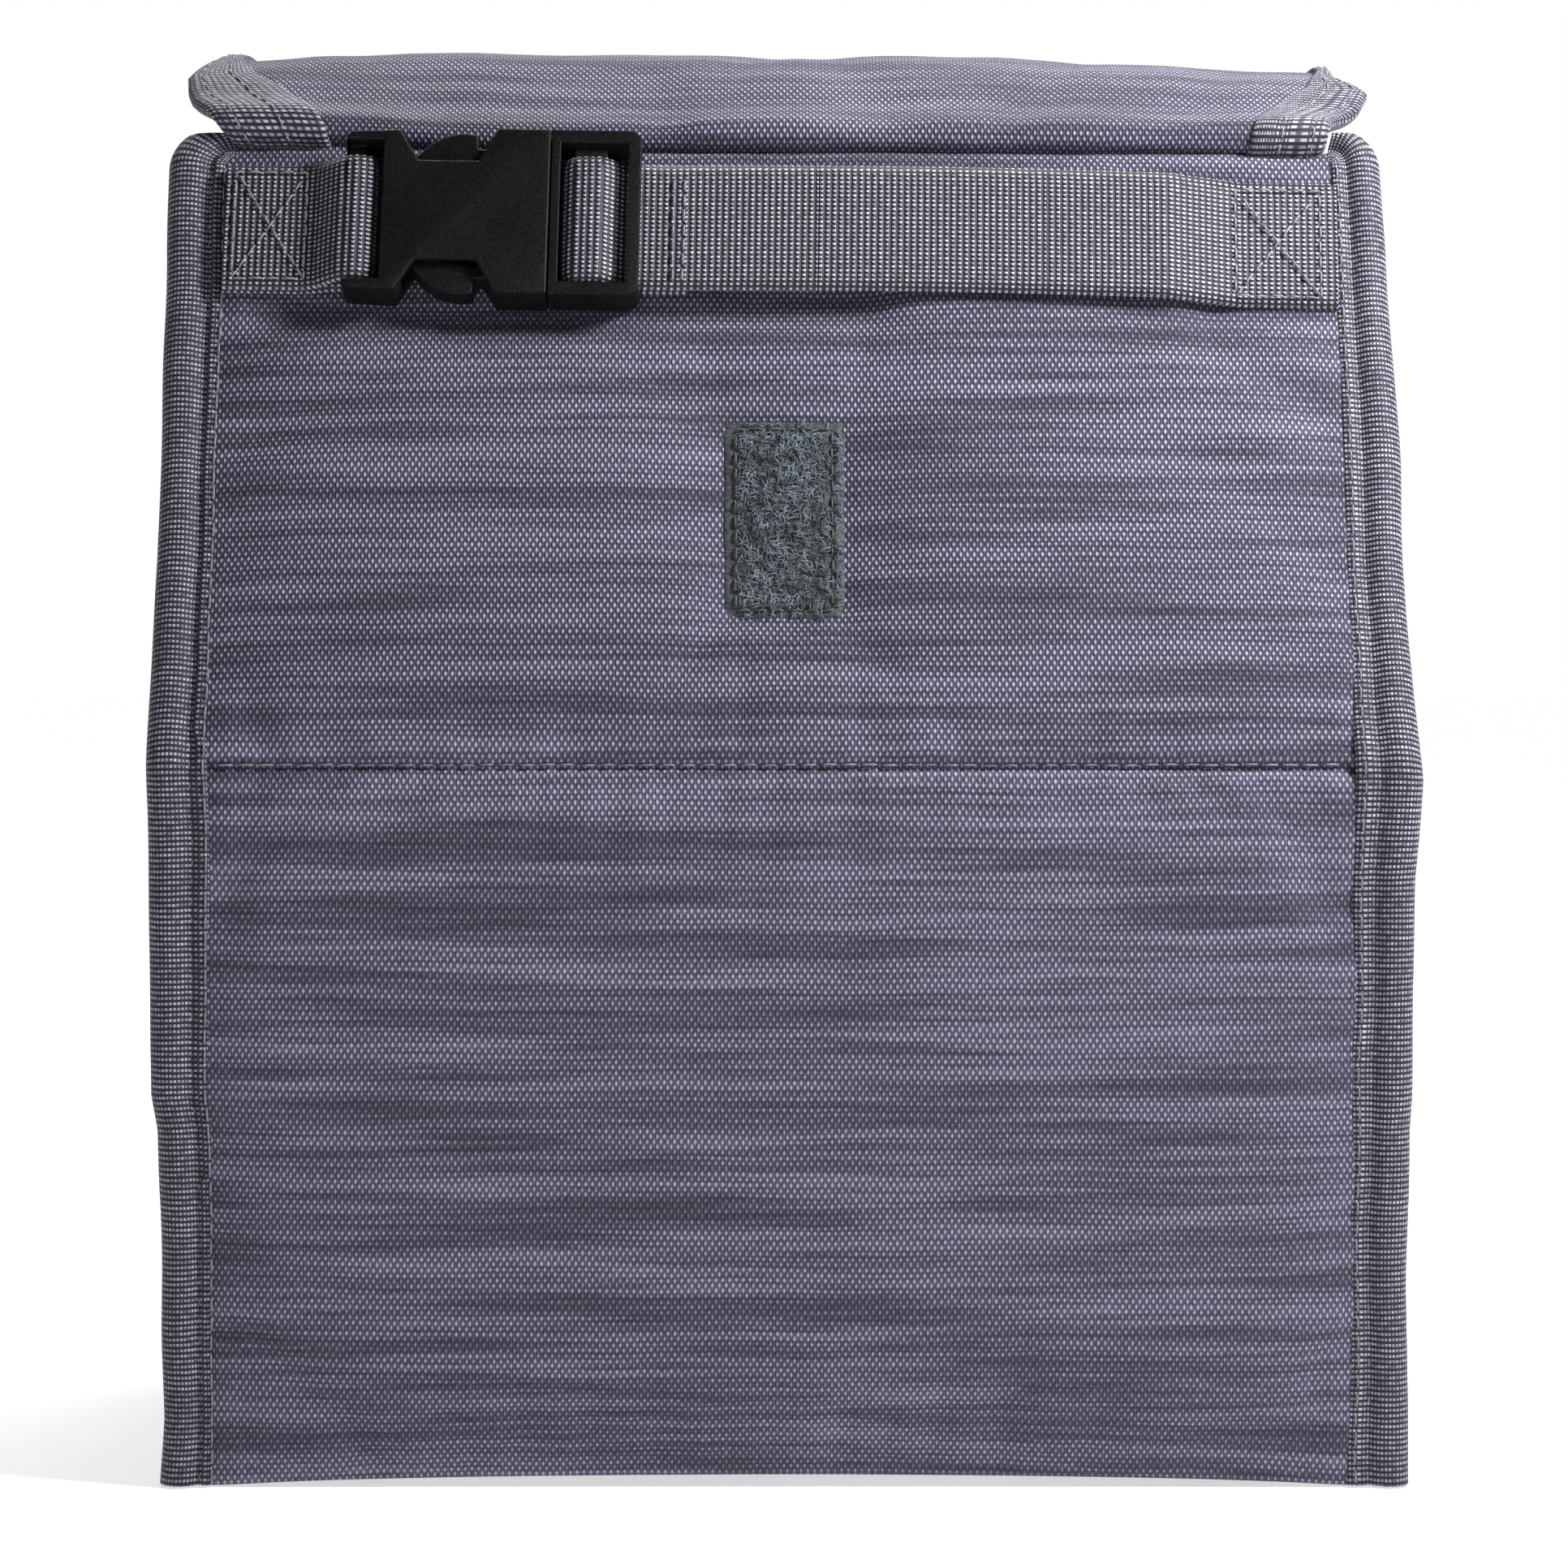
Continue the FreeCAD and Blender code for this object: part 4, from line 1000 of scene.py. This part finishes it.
def make_top(name, low, high, bend, *nodes):
    """One length of the folded top: its outer fabric, and its lining face joined to it round the rim."""
    rows = resample([[low], [high]], 0.9)[0][:, 0]
    run, share = np.meshgrid(rows, np.linspace(-1, 1, 151), indexing="ij")
    x = share * (np.where(share < 0, roof_edge(-1, run), roof_edge(1, run)) + 1.2)
    face = make_sheet(name, top_point(x, run, flap_swelling(x, run) + band_wrinkles(x, run)), stack(x, run))
    outer = vertices_mm(face)
    inner = outer - read_vertices(face.data, "normal") * top_thickness(run.ravel())[:, None]
    bpy.data.objects.remove(face, do_unlink=True)
    quads = grid_faces(*x.shape)
    index = np.arange(x.size).reshape(x.shape)
    here = joined(index[0], index[1:, -1], index[-1, -2::-1], index[-2:0:-1, 0])
    following = np.roll(here, -1)
    rim = stack(following, here, here + x.size, following + x.size)
    faces = joined(quads, quads[:, ::-1] + x.size, rim)
    uv = stack(x, run).reshape(-1, 2)
    piece = make_mesh(name, joined(outer, inner), faces.tolist(), joined(uv, uv)[faces.ravel()])
    # the top's copy of the weave, with painted shade and painted highlight
    piece.data.materials.append(MATERIALS["top_shell_raking_light"])
    piece.data.materials.append(MATERIALS["lining"])
    which = np.zeros(len(faces), int)
    which[len(quads):2 * len(quads)] = 1
    piece.data.polygons.foreach_set("material_index", which)
    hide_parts(*nodes)
    bend(piece)


make_top("roof_back", 0.0, SPLIT_RUN, bend_back, "roof_fabric", "roof_foam", "roof_lining")
make_top("roof_front", SPLIT_RUN, END_RUN, bend_front, "flap_fabric", "flap_foam", "flap_lining")


# the edge tape's section: share across, and how far out from the roof's face
EAR_SECTION = np.array([
    (0.0, -0.4), (0.0, 0.75), (0.06, 1.0), (0.25, 1.12), (0.36, 1.0), (0.42, 1.0), (0.5, 1.12), (0.72, 1.15),
    (0.80, 0.98), (0.86, 1.05), (0.95, 0.85), (1.0, 0.2), (1.0, -0.9), (0.95, -1.9), (0.8, -2.3), (0.4, -2.4),
    (0.1, -2.3), (0.0, -1.6),
])
EAR_WIDTH = 9.0


def make_ear(hand, hand_word, part, low, high, bend):
    """Edge tape along one end of the folded top, a flat fold of grosgrain with a rounded edge."""
    rows = resample([[low], [high]], 0.8)[0][:, 0]
    inner = roof_edge(hand, rows)
    width = np.interp(rows, TAPE_PLACES, TAPE_EDGE[hand]) - inner
    base = 0.25 * ripple(rows, 0 * rows, 17, 83 + hand) + 0.5 * flap_swelling(hand * inner, rows)
    growth = 0.55 + 0.45 * smooth(rows, 0, 3)
    dip = 1.3 * bell(rows, 17, 6) * (hand > 0)

    def ear_point(share, level, more=0.0):
        height = level * growth[:, None] + base[:, None] - dip[:, None] * share + more
        return top_point(hand * (inner[:, None] + width[:, None] * share), rows[:, None], height)

    rings = ear_point(*EAR_SECTION.T)
    if hand > 0:
        rings = rings[:, ::-1]
    around = distances(joined(EAR_SECTION, EAR_SECTION[:1]) * [EAR_WIDTH, 1.0])
    run = joined([0], np.cumsum(np.hypot(1, np.gradient(inner, rows)[1:]) * np.diff(rows)))
    name = "%s_%s_tape" % (part, hand_word)
    piece = make_loft(name, rings, run, around)
    dress(piece, "tape")
    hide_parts("%s_%s_binding" % (part, hand_word))
    runs = []
    for share, level in ((0.39, 1.02), (0.80, 1.0)):
        line = ear_point(share, level)[:, 0]
        runs.append((line, ear_point(share, level, 1.0)[:, 0] - line))
    stitches = make_stitches(name + "_stitches", runs, *BINDING_STITCHES, 0.05)
    dress(stitches, "thread")
    bend(piece)
    bend(stitches)


for wall_hand, hand_word in HANDS:
    make_ear(wall_hand, hand_word, "roof", 0.6, SPLIT_RUN, bend_back)
    make_ear(wall_hand, hand_word, "flap", SPLIT_RUN, END_RUN, bend_front)


# ---------------------------------------------------------------- strap and buckle

FIRST_HINGE = pivot_mm("buckle_release")
HINGE_LINE = FIRST_HINGE - pivot_mm("plug_turn")
STRAP_V = normalised(np.array(JOINTS["buckle_release"]["axis"], float))
STRAP_U = normalised(HINGE_LINE - STRAP_V * (HINGE_LINE @ STRAP_V))
STRAP_N = np.cross(STRAP_U, STRAP_V)
STRAP_N = -STRAP_N if STRAP_N[1] > 0 else STRAP_N
PIVOT_X = 66.0
LINK = 40.0
STRAP_LEVEL, STRAP_THICK = 4.2, 1.6
STRAP_ORIGIN = FIRST_HINGE - STRAP_U * PIVOT_X - STRAP_N * (STRAP_LEVEL + STRAP_THICK)
STRAP_HALF = 23.5 / 2
SEWN_LEVEL = 0.2


def strap_point(along, across, out):
    """Point on the strap: along it, across it, and out from the panel."""
    place = stack(along, across, out).astype(float)
    return STRAP_ORIGIN + place[..., :1] * STRAP_U + place[..., 1:2] * STRAP_V + place[..., 2:] * STRAP_N


def make_webbing(name, path, arch=0.0):
    """Webbing along a side-view path (along, out from the panel) of its middle, with its woven ribs."""
    line, run = rounded(path, 6, WEBBING_RIB / 6)
    normal = side_normals(line)
    v = STRAP_HALF * np.linspace(-1, 1, 15)
    thin = 1 - 0.45 * np.abs(v / STRAP_HALF) ** 14
    ribs = 0.16 * np.cos(2 * math.pi * run / WEBBING_RIB)
    upper = STRAP_THICK / 2 * thin + ribs[:, None] * thin - 0.1
    level = joined(upper, -upper[:, ::-1], axis=1)
    bow = arch * np.sin(math.pi * np.clip((line[:, :1] + 20) / 88, 0, 1))
    points = strap_point(line[:, :1] + normal[:, :1] * level, joined(v, v[::-1]) + bow,
                         line[:, 1:] + normal[:, 1:] * level)
    around = joined(v + STRAP_HALF, v + 3 * STRAP_HALF, [4 * STRAP_HALF])
    piece = make_loft(name, points, run, around, turned=True)
    dress(piece, "webbing")
    return piece


BAR_X, BAR_OUT = -34.15, 5.8
STRAP_ARCH = 0.5


def make_strap():
    """The strap's three lengths, each spanning one hinge place, and the sewn loop that holds the socket."""
    middle = STRAP_LEVEL + STRAP_THICK / 2
    sewn = SEWN_LEVEL + STRAP_THICK / 2
    right = [(97.5, sewn), (80.5, sewn + 0.1), (67.5, middle), (46.0, middle)]
    centre = [(46.0, middle), (6.0, middle)]
    loop = [(6.0, middle), (-22.0, middle), (-26.0, middle + 0.1), (-29.0, middle + 0.9),
            (-30.6, middle + 2.2), (-32.0, BAR_OUT + 2.45), (BAR_X, BAR_OUT + 2.5), (-36.6, BAR_OUT + 2.3),
            (-38.0, BAR_OUT + 0.9), (-38.1, BAR_OUT - 0.9), (-37.0, BAR_OUT - 2.3), (-34.0, 3.25),
            (-28.0, 3.25), (-17.0, 3.3)]
    lengths = (("strap_right", right, ("bag", "strap_right"), ("strap_right_anchor",)),
               ("strap_middle", centre, ("strap_right", "strap_left"), ("strap_right_run", "strap_left_run")),
               ("strap_loop", loop, ("strap_left", "plug"), ("strap_end_loop",)))
    for hinge, (name, path, bodies, nodes) in enumerate(lengths):
        piece = make_webbing(name, path, STRAP_ARCH)
        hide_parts(*nodes)
        pivot = PIVOT_X - hinge * LINK
        start, end = [tuple((strap_point(pivot + reach, 0, middle) * MM).tolist()) for reach in (2.5, -2.5)]
        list(bodies)
        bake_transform(piece)
    anchor = [(-98.6, SEWN_LEVEL + 0.8), (-84.0, SEWN_LEVEL + 0.8), (-79.5, 2.2), (-76.0, 2.6), (-73.2, 3.2),
              (-72.0, 5.1), (-72.6, 7.2), (-75.0, 7.75), (-77.4, 7.3), (-79.3, 5.9), (-82.0, 3.6), (-84.5, 2.75),
              (-98.6, 2.65)]
    piece = make_webbing("buckle_end_loop", anchor)
    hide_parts("buckle_anchor_loop")
    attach(piece, "bag")


def cross_box(low, high, level, tilt):
    """Sewn box with a cross in it, its height over the panel rising by the tilt towards its low end."""
    half = STRAP_HALF - 1.6
    corners = [(low, -half), (high, -half), (high, half), (low, half), (low, -half), (high, half)]
    second = [(high, -half), (low, half)]
    runs = []
    for corner_list in (corners, second):
        path = resample(corner_list, 0.6)[0]
        runs.append((strap_point(path[:, 0], path[:, 1], level + tilt * (high - path[:, 0])), STRAP_N))
    return runs


def make_strap_stitches():
    boxes = cross_box(79.5, 94.5, 1.95, 0.03) + cross_box(-96.8, -84.2, 3.62, 0.0)
    settle(make_stitches("strap_sewing", boxes, 2.3, 0.6, 0.2, 0.12), "thread", "webbing")
    v = np.linspace(-STRAP_HALF + 1.2, STRAP_HALF - 1.2, 40)
    rows = [(strap_point(place, v, STRAP_LEVEL + STRAP_THICK + 0.1), STRAP_N) for place in (-17.6, -19.4)]
    tail = make_stitches("strap_tail_sewing", rows, 2.2, 0.6, 0.2, 0.1)
    settle(tail, "thread", "webbing", body="plug")


make_strap()
make_strap_stitches()


def soften(node, width, material):
    """Rounded edges on a CAD node: modifiers only, its own mesh stays as packed."""
    item = frame["nodes"][node]
    add_modifier(item, "WELD", merge_threshold=1e-6)
    add_modifier(item, "DECIMATE", decimate_type="DISSOLVE", angle_limit=math.radians(1))
    add_modifier(item, "BEVEL", width=width * MM, segments=3, limit_method="ANGLE",
                 angle_limit=math.radians(30), harden_normals=True)
    item.data.polygons.foreach_set("use_smooth", [True] * len(item.data.polygons))
    dress(item, material)


for plastic_node in ("buckle_socket", "buckle_plug", "prong_upper", "prong_lower"):
    soften(plastic_node, 0.45, "plastic")
soften("zip_slider", 0.25, "metal")
soften("zip_pull", 0.4, "metal")


# ---------------------------------------------------------------- loop patch

PATCH_SEAM_X = PATCH_HALF_WIDTH - 2.4
PATCH_SEAM_S = PATCH_HALF_HEIGHT - 1.6
PATCH_OUT = np.array([0.0, -1.0, 0.35])


def make_patch():
    """Sewn loop patch: a flat selvage and a field of small fuzzy loops."""
    half_x, half_s = PATCH_HALF_WIDTH - 0.1, PATCH_HALF_HEIGHT
    s, x = np.meshgrid(np.linspace(-half_s, half_s, 64), np.linspace(-half_x, half_x, 40), indexing="ij")
    edge = smooth(half_x - np.abs(x), 0, 0.9) * smooth(half_s - np.abs(s), 0, 0.9)
    pile = smooth(x, -half_x + 1.6, -half_x + 2.4) * (1 - smooth(x, half_x - 1.3, half_x - 0.7))
    stitch = bell(np.abs(x), PATCH_SEAM_X, 0.5) + bell(np.abs(s), PATCH_SEAM_S, 0.5)
    out = 0.55 + 0.35 * edge + 0.35 * pile * edge - 0.3 * np.clip(stitch, 0, 1) + 0.06 * ripple(x, s, 5, 91)
    piece = make_sheet("loop_patch", wall(-1, x, PATCH_MIDDLE + s, out), stack(x, s))
    thicken(piece, 0.9)
    settle(piece, "selvage", "loop_pile", "back_loop_patch")
    make_curls(half_x, half_s)
    corners = np.array([(-1, -1), (1, -1), (1, 1), (-1, 1), (-1, -1)]) * [PATCH_SEAM_X, PATCH_SEAM_S]
    path = resample(corners, 0.8)[0]
    line = wall(-1, path[:, 0], PATCH_MIDDLE + path[:, 1], 1.2)
    settle(make_stitches("patch_sewing", [(line, PATCH_OUT)], 2.3, 0.6, 0.2, 0.1), "dark_thread", "loop_pile")


CURLS = 2100
CURL_THICK = 0.10
CURL_SIDES = 4


def make_curls(half_x, half_s):
    """Small bent loops of yarn, standing on the patch at random angles."""
    draw = np.random.default_rng(17)
    x = draw.uniform(-half_x + 2.2, half_x - 1.1, CURLS)
    s = draw.uniform(-half_s + 0.6, half_s - 0.6, CURLS)
    clear = (np.abs(np.abs(x) - PATCH_SEAM_X) >= 0.55) & (np.abs(np.abs(s) - PATCH_SEAM_S) >= 0.55)
    x, s = x[clear], s[clear]
    count = len(x)
    angle = draw.uniform(0, math.pi, count)
    size = draw.uniform(0.45, 1.15, count)
    tall = draw.uniform(0.35, 0.9, count)
    lean = draw.uniform(-0.35, 0.35, count)
    turn = np.linspace(0, math.pi, 6)
    points, faces = [], []
    for index in range(count):
        along = -np.cos(turn) * size[index]
        aside = lean[index] * np.sin(turn)
        cosine, sine = math.cos(angle[index]), math.sin(angle[index])
        spine_s = PATCH_MIDDLE + s[index] + along * sine + aside * cosine
        spine = wall(-1, x[index] + along * cosine - aside * sine, spine_s, 0.95 + np.sin(turn) * tall[index])
        direction = normalised(np.gradient(spine, axis=0))
        across = normalised(np.cross(direction, PATCH_OUT))
        rings = tube_rings(spine, across, np.cross(across, direction), CURL_THICK, CURL_SIDES)
        faces += tube_faces(len(points), len(rings), CURL_SIDES)
        points.extend(rings.reshape(-1, 3))
    settle(make_mesh("loop_pile", points, faces), "pile", "loop_pile")


make_patch()


# ---------------------------------------------------------------- lining, inner lip and zip

FILM = 0.5
WALL_INSET = CREASE_DEPTH - abs(box_mm("back_lining")[1][1])
FILM_HALF = box_mm("right_lining")[0][0]
FILM_FLOOR = box_mm("bottom_lining")[1][2]


def hang_film(word, points, uv, flip=False, **laid):
    """One panel of the film lining."""
    piece = make_sheet(word + "_lining_film", points, uv, flip)
    thicken(piece, FILM)
    settle(piece, "lining", "lining", ("bottom" if word == "floor" else word) + "_lining")


def film_slack(share, z, ripples):
    """How far the film hangs off its wall, between its seams."""
    soft = (1 - share ** 4) * smooth(z, FILM_FLOOR, 30) * (1 - smooth(z, 222, 233))
    return (0.4 * ripples + 0.5) * soft


def make_lining():
    """The inside of the bag: a film lining that hangs slightly loose between its seams."""
    x_line = np.linspace(-FILM_HALF, FILM_HALF, 60)
    z_line = np.linspace(FILM_FLOOR, CREASE_HEIGHT, 70)
    z, x = np.meshgrid(z_line, x_line, indexing="ij")
    for side, word in SIDES:
        slack = film_slack(x / FILM_HALF, z, ripple(x, z, 42, 101 + side))
        y = side * (gusset_depth(z) - WALL_INSET - slack)
        hang_film(word, stack(x, y, z), stack(x, z), side < 0, flat=(2 * FILM_HALF * MM, WALL_RUN * MM),
                  held="stretched", rests_on=[word + "_wall"])
    z, t = np.meshgrid(z_line, np.linspace(-1, 1, 36), indexing="ij")
    y = t * (gusset_depth(z) - WALL_INSET - 0.2)
    tall = CREASE_HEIGHT - FILM_FLOOR
    area = 2 * (gusset_depth(z_line) - WALL_INSET).mean() * tall
    for hand, word in HANDS:
        x = hand * (FILM_HALF - film_slack(t, z, ripple(y, z, 40, 107 + hand)))
        hang_film(word, stack(x, y, z), stack(y, z), hand > 0, area=area * MM * MM, held="stretched",
                  flat=(2 * (FOLD_DEPTH - WALL_INSET) * MM, tall * MM), rests_on=[word + "_gusset"])
    half_y = BASE_DEPTH - WALL_INSET
    y, x = np.meshgrid(np.linspace(-half_y, half_y, 40), x_line, indexing="ij")
    soft = (1 - np.abs(x / FILM_HALF) ** 6) * (1 - np.abs(y / half_y) ** 6)
    z = FILM_FLOOR + 0.3 * (ripple(x, y, 38, 113) + 1) * soft
    hang_film("floor", stack(x, y, z), stack(x, y), flat=(2 * FILM_HALF * MM, 2 * half_y * MM), held="laid",
              rests_on=["bottom_board"])


make_lining()

LIP_LOW, LIP_IN, LIP_FOLD = pivot_mm("pleat_lower_turn"), pivot_mm("pleat_upper_turn"), pivot_mm("lip_turn")
LIP_HALF = box_mm("lip_front_fabric")[1][0]
LIP_LENGTH = 66.0
LIP_THICK = 1.2


def make_lip_sheet(name, profile, nodes, run_start, wave=0.0):
    """Length of the top's inner layer, shaped round one fold."""
    line, run = rounded(profile, 4, 0.7)
    normal = side_normals(line)
    run_grid, x = np.meshgrid(run, np.linspace(-LIP_HALF, LIP_HALF, 90), indexing="ij")
    hanging = smooth(run_grid, 8, 20) * (1 - smooth(run_grid, run[-1] - 14, run[-1]))
    lift = wave * ripple(x, run_grid, 48, 131) * hanging
    points = stack(x, line[:, :1] + lift * normal[:, :1], line[:, 1:] + lift * normal[:, 1:])
    piece = make_sheet(name, points, stack(x, run_grid + run_start))
    thicken(piece, LIP_THICK, 0)
    dress(piece, "shell")
    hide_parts(*nodes)
    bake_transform(piece)


def make_lip():
    """The inner layer: a base, a pleat under the folded top, and the length that hangs behind the flap."""
    low, inner, fold = LIP_LOW[1:], LIP_IN[1:], LIP_FOLD[1:]
    half_low, half_up = (low + inner) / 2, (inner + fold) / 2
    lift = np.array([0.0, 0.6])
    hang = fold + OUTWARD * 0.6
    base = [low + [0.8, -3.0], low + [0.2, -0.8], low - lift * 0.5, half_low - lift]
    pleat = [half_low - lift, inner - lift, inner + [-0.7, 0.0], inner + lift, half_up + lift]
    front = [half_up + lift, fold + lift + [-1.2, 0.0], fold + [0.6, 0.0], hang + DOWN * 2.5,
             hang + DOWN * LIP_LENGTH]
    make_lip_sheet("lip_base", base, ("lip_pleat_lower",), 0.0)
    make_lip_sheet("lip_pleat", pleat, ("lip_pleat_upper",), 16.0)
    make_lip_sheet("lip_front", front,
                   ("lip_front_fabric", "lip_front_lining"), 30.0, 0.25)


make_lip()


def slope_point(x, down, out):
    """Point on the flap's hanging slope: down from its fold, and out from it."""
    return stack(x, FRONT_PIVOT[1] + DOWN[0] * down + OUTWARD[0] * out,
                 FRONT_PIVOT[2] + DOWN[1] * down + OUTWARD[1] * out)


ZIP_TOP, ZIP_END = 60.0, 70.4
COIL_LINE = 69.75
COIL_PITCH = 1.3
COIL_THICK = 0.3
COIL_SIDES, COIL_STEPS = 5, 8


def make_zip(word, half, face, sign, body):
    """Zip tape with its row of coil teeth along the lower edge."""
    down, x = np.meshgrid(np.linspace(ZIP_TOP, ZIP_END, 12), np.linspace(-half, half, 140), indexing="ij")
    out = face + 0.3 * sign + 0.08 * ripple(x, down, 24, 141)
    tape = make_sheet("zip_%s_tape" % word, slope_point(x, down, out), stack(x, down))
    thicken(tape, 0.5, 0)
    settle(tape, "zip_tape", "zip", "zip_%s_tape" % word, body=body)
    turn = np.linspace(0, 2 * math.pi, COIL_STEPS + 1)[:-1]
    aside = np.array([[1.0, 0.0, 0.0]])
    points, faces = [], []
    for tooth in range(int(2 * half / COIL_PITCH)):
        spine = slope_point(-half + COIL_PITCH * (tooth + 0.5) + 0.28 * np.sin(turn),
                            COIL_LINE - 0.95 * np.cos(turn), face + sign * (1.3 + 0.5 * np.sin(turn + 0.6)))
        direction = normalised(np.roll(spine, -1, axis=0) - np.roll(spine, 1, axis=0))
        rings = tube_rings(spine, aside, normalised(np.cross(direction, aside)), COIL_THICK, COIL_SIDES)
        faces += tube_faces(len(points), COIL_STEPS, COIL_SIDES, ring=True)
        points.extend(rings.reshape(-1, 3))
    settle(make_mesh("zip_%s_coil" % word, points, faces), "coil", "zip", "zip_%s_coil" % word, body=body)


REAR_FACE = -3.0
FRONT_FACE = (LIP_FOLD - FRONT_PIVOT)[1:] @ OUTWARD + 1.6
make_zip("rear", 96.0, REAR_FACE, -1, "top_front")
make_zip("front", 80.0, FRONT_FACE, 1, "lip_front")


# ---------------------------------------------------------------- materials of the CAD nodes that stay

CAD_FINISH = {"gel_pack": "gel", "board": "board", "foam": "foam", "stops": "metal"}
for node_name, node_object in frame["nodes"].items():
    for part_word, finish in CAD_FINISH.items():
        if part_word in node_name:
            dress(node_object, finish)


# ---------------------------------------------------------------- floor, light and camera

FLOOR_REACH = 4000


def make_stage():
    """A plain pale floor that glows a little more far away, under a white world."""
    corners = [(-1, -1, 0), (1, -1, 0), (1, 1, 0), (-1, 1, 0)]
    floor = make_mesh("floor", np.array(corners) * FLOOR_REACH, [[0, 1, 2, 3]])
    made = Recipe("floor_white", Roughness=0.8, Specular_IOR_Level=0.1, Emission_Strength=1.0)
    tone = made.noise(made.place(), 3.0, 2.0)
    far = made.node("VectorMath", {0: made.place()}, operation="LENGTH").outputs["Value"]
    glow = made.colours(made.ramp(far, 0.3, 1.1), (0.0, [0.60] * 3), (1.0, [0.95] * 3))
    made.feed(made.shader.inputs["Emission Color"], glow)
    made.finish(made.colours(tone, (0.0, [0.70] * 3), (1.0, [0.73] * 3)))
    floor.data.materials.append(made.material)
    scene.world = bpy.data.worlds.new("soft_white")
    scene.world.use_nodes = True
    tree = scene.world.node_tree
    sky = tree.nodes["Background"]
    sky.inputs["Color"].default_value = (1.0, 1.0, 1.0, 1.0)
    rays = tree.nodes.new("ShaderNodeLightPath")
    level = tree.nodes.new("ShaderNodeMapRange")
    level.inputs["To Min"].default_value = 0.06
    level.inputs["To Max"].default_value = 1.0
    tree.links.new(rays.outputs["Is Camera Ray"], level.inputs["Value"])
    tree.links.new(level.outputs[0], sky.inputs["Strength"])


def add_light(name, place, target, size, power):
    """Rectangular lamp at a place, facing a target, in metres."""
    data = bpy.data.lights.new(name, "AREA")
    data.shape = "RECTANGLE"
    data.size, data.size_y = size
    data.energy = power
    item = link(name, data)
    item.location = place
    item.rotation_mode = "QUATERNION"
    item.rotation_quaternion = (Vector(target) - Vector(place)).to_track_quat("-Z", "Y")


CAMERA_DISTANCE = 0.80
CAMERA_RAISE = math.radians(3.0)
VIEW_WIDTH = 0.2675
VIEW_HEIGHT = 0.1218
SENSOR = 36.0


def make_camera():
    """Long lens square on to the back, raised a little, aimed at the plane of the fold line."""
    data = bpy.data.cameras.new("camera")
    data.sensor_width = SENSOR
    data.lens = SENSOR * CAMERA_DISTANCE / VIEW_WIDTH
    data.clip_start, data.clip_end = 0.01, 50
    item = link("camera", data)
    item.location = (0.0, -FOLD_DEPTH * MM - CAMERA_DISTANCE * math.cos(CAMERA_RAISE),
                     VIEW_HEIGHT + CAMERA_DISTANCE * math.sin(CAMERA_RAISE))
    item.rotation_euler = (math.pi / 2 - CAMERA_RAISE, 0, 0)
    scene.camera = item


make_stage()
add_light("key", (0.28, -0.185, 0.42), (0.0, -0.04, 0.13), (0.11, 0.11), 3.45)
add_light("fill", (-0.9, -0.9, 0.45), (0.0, 0.0, 0.12), (0.7, 0.7), 0.25)
add_light("back", (0.0, 0.5, 1.1), (0.0, 0.0, 0.18), (0.8, 0.5), 11)
make_camera()
scene.view_settings.view_transform = "Standard"

bpy.context.view_layer.update()
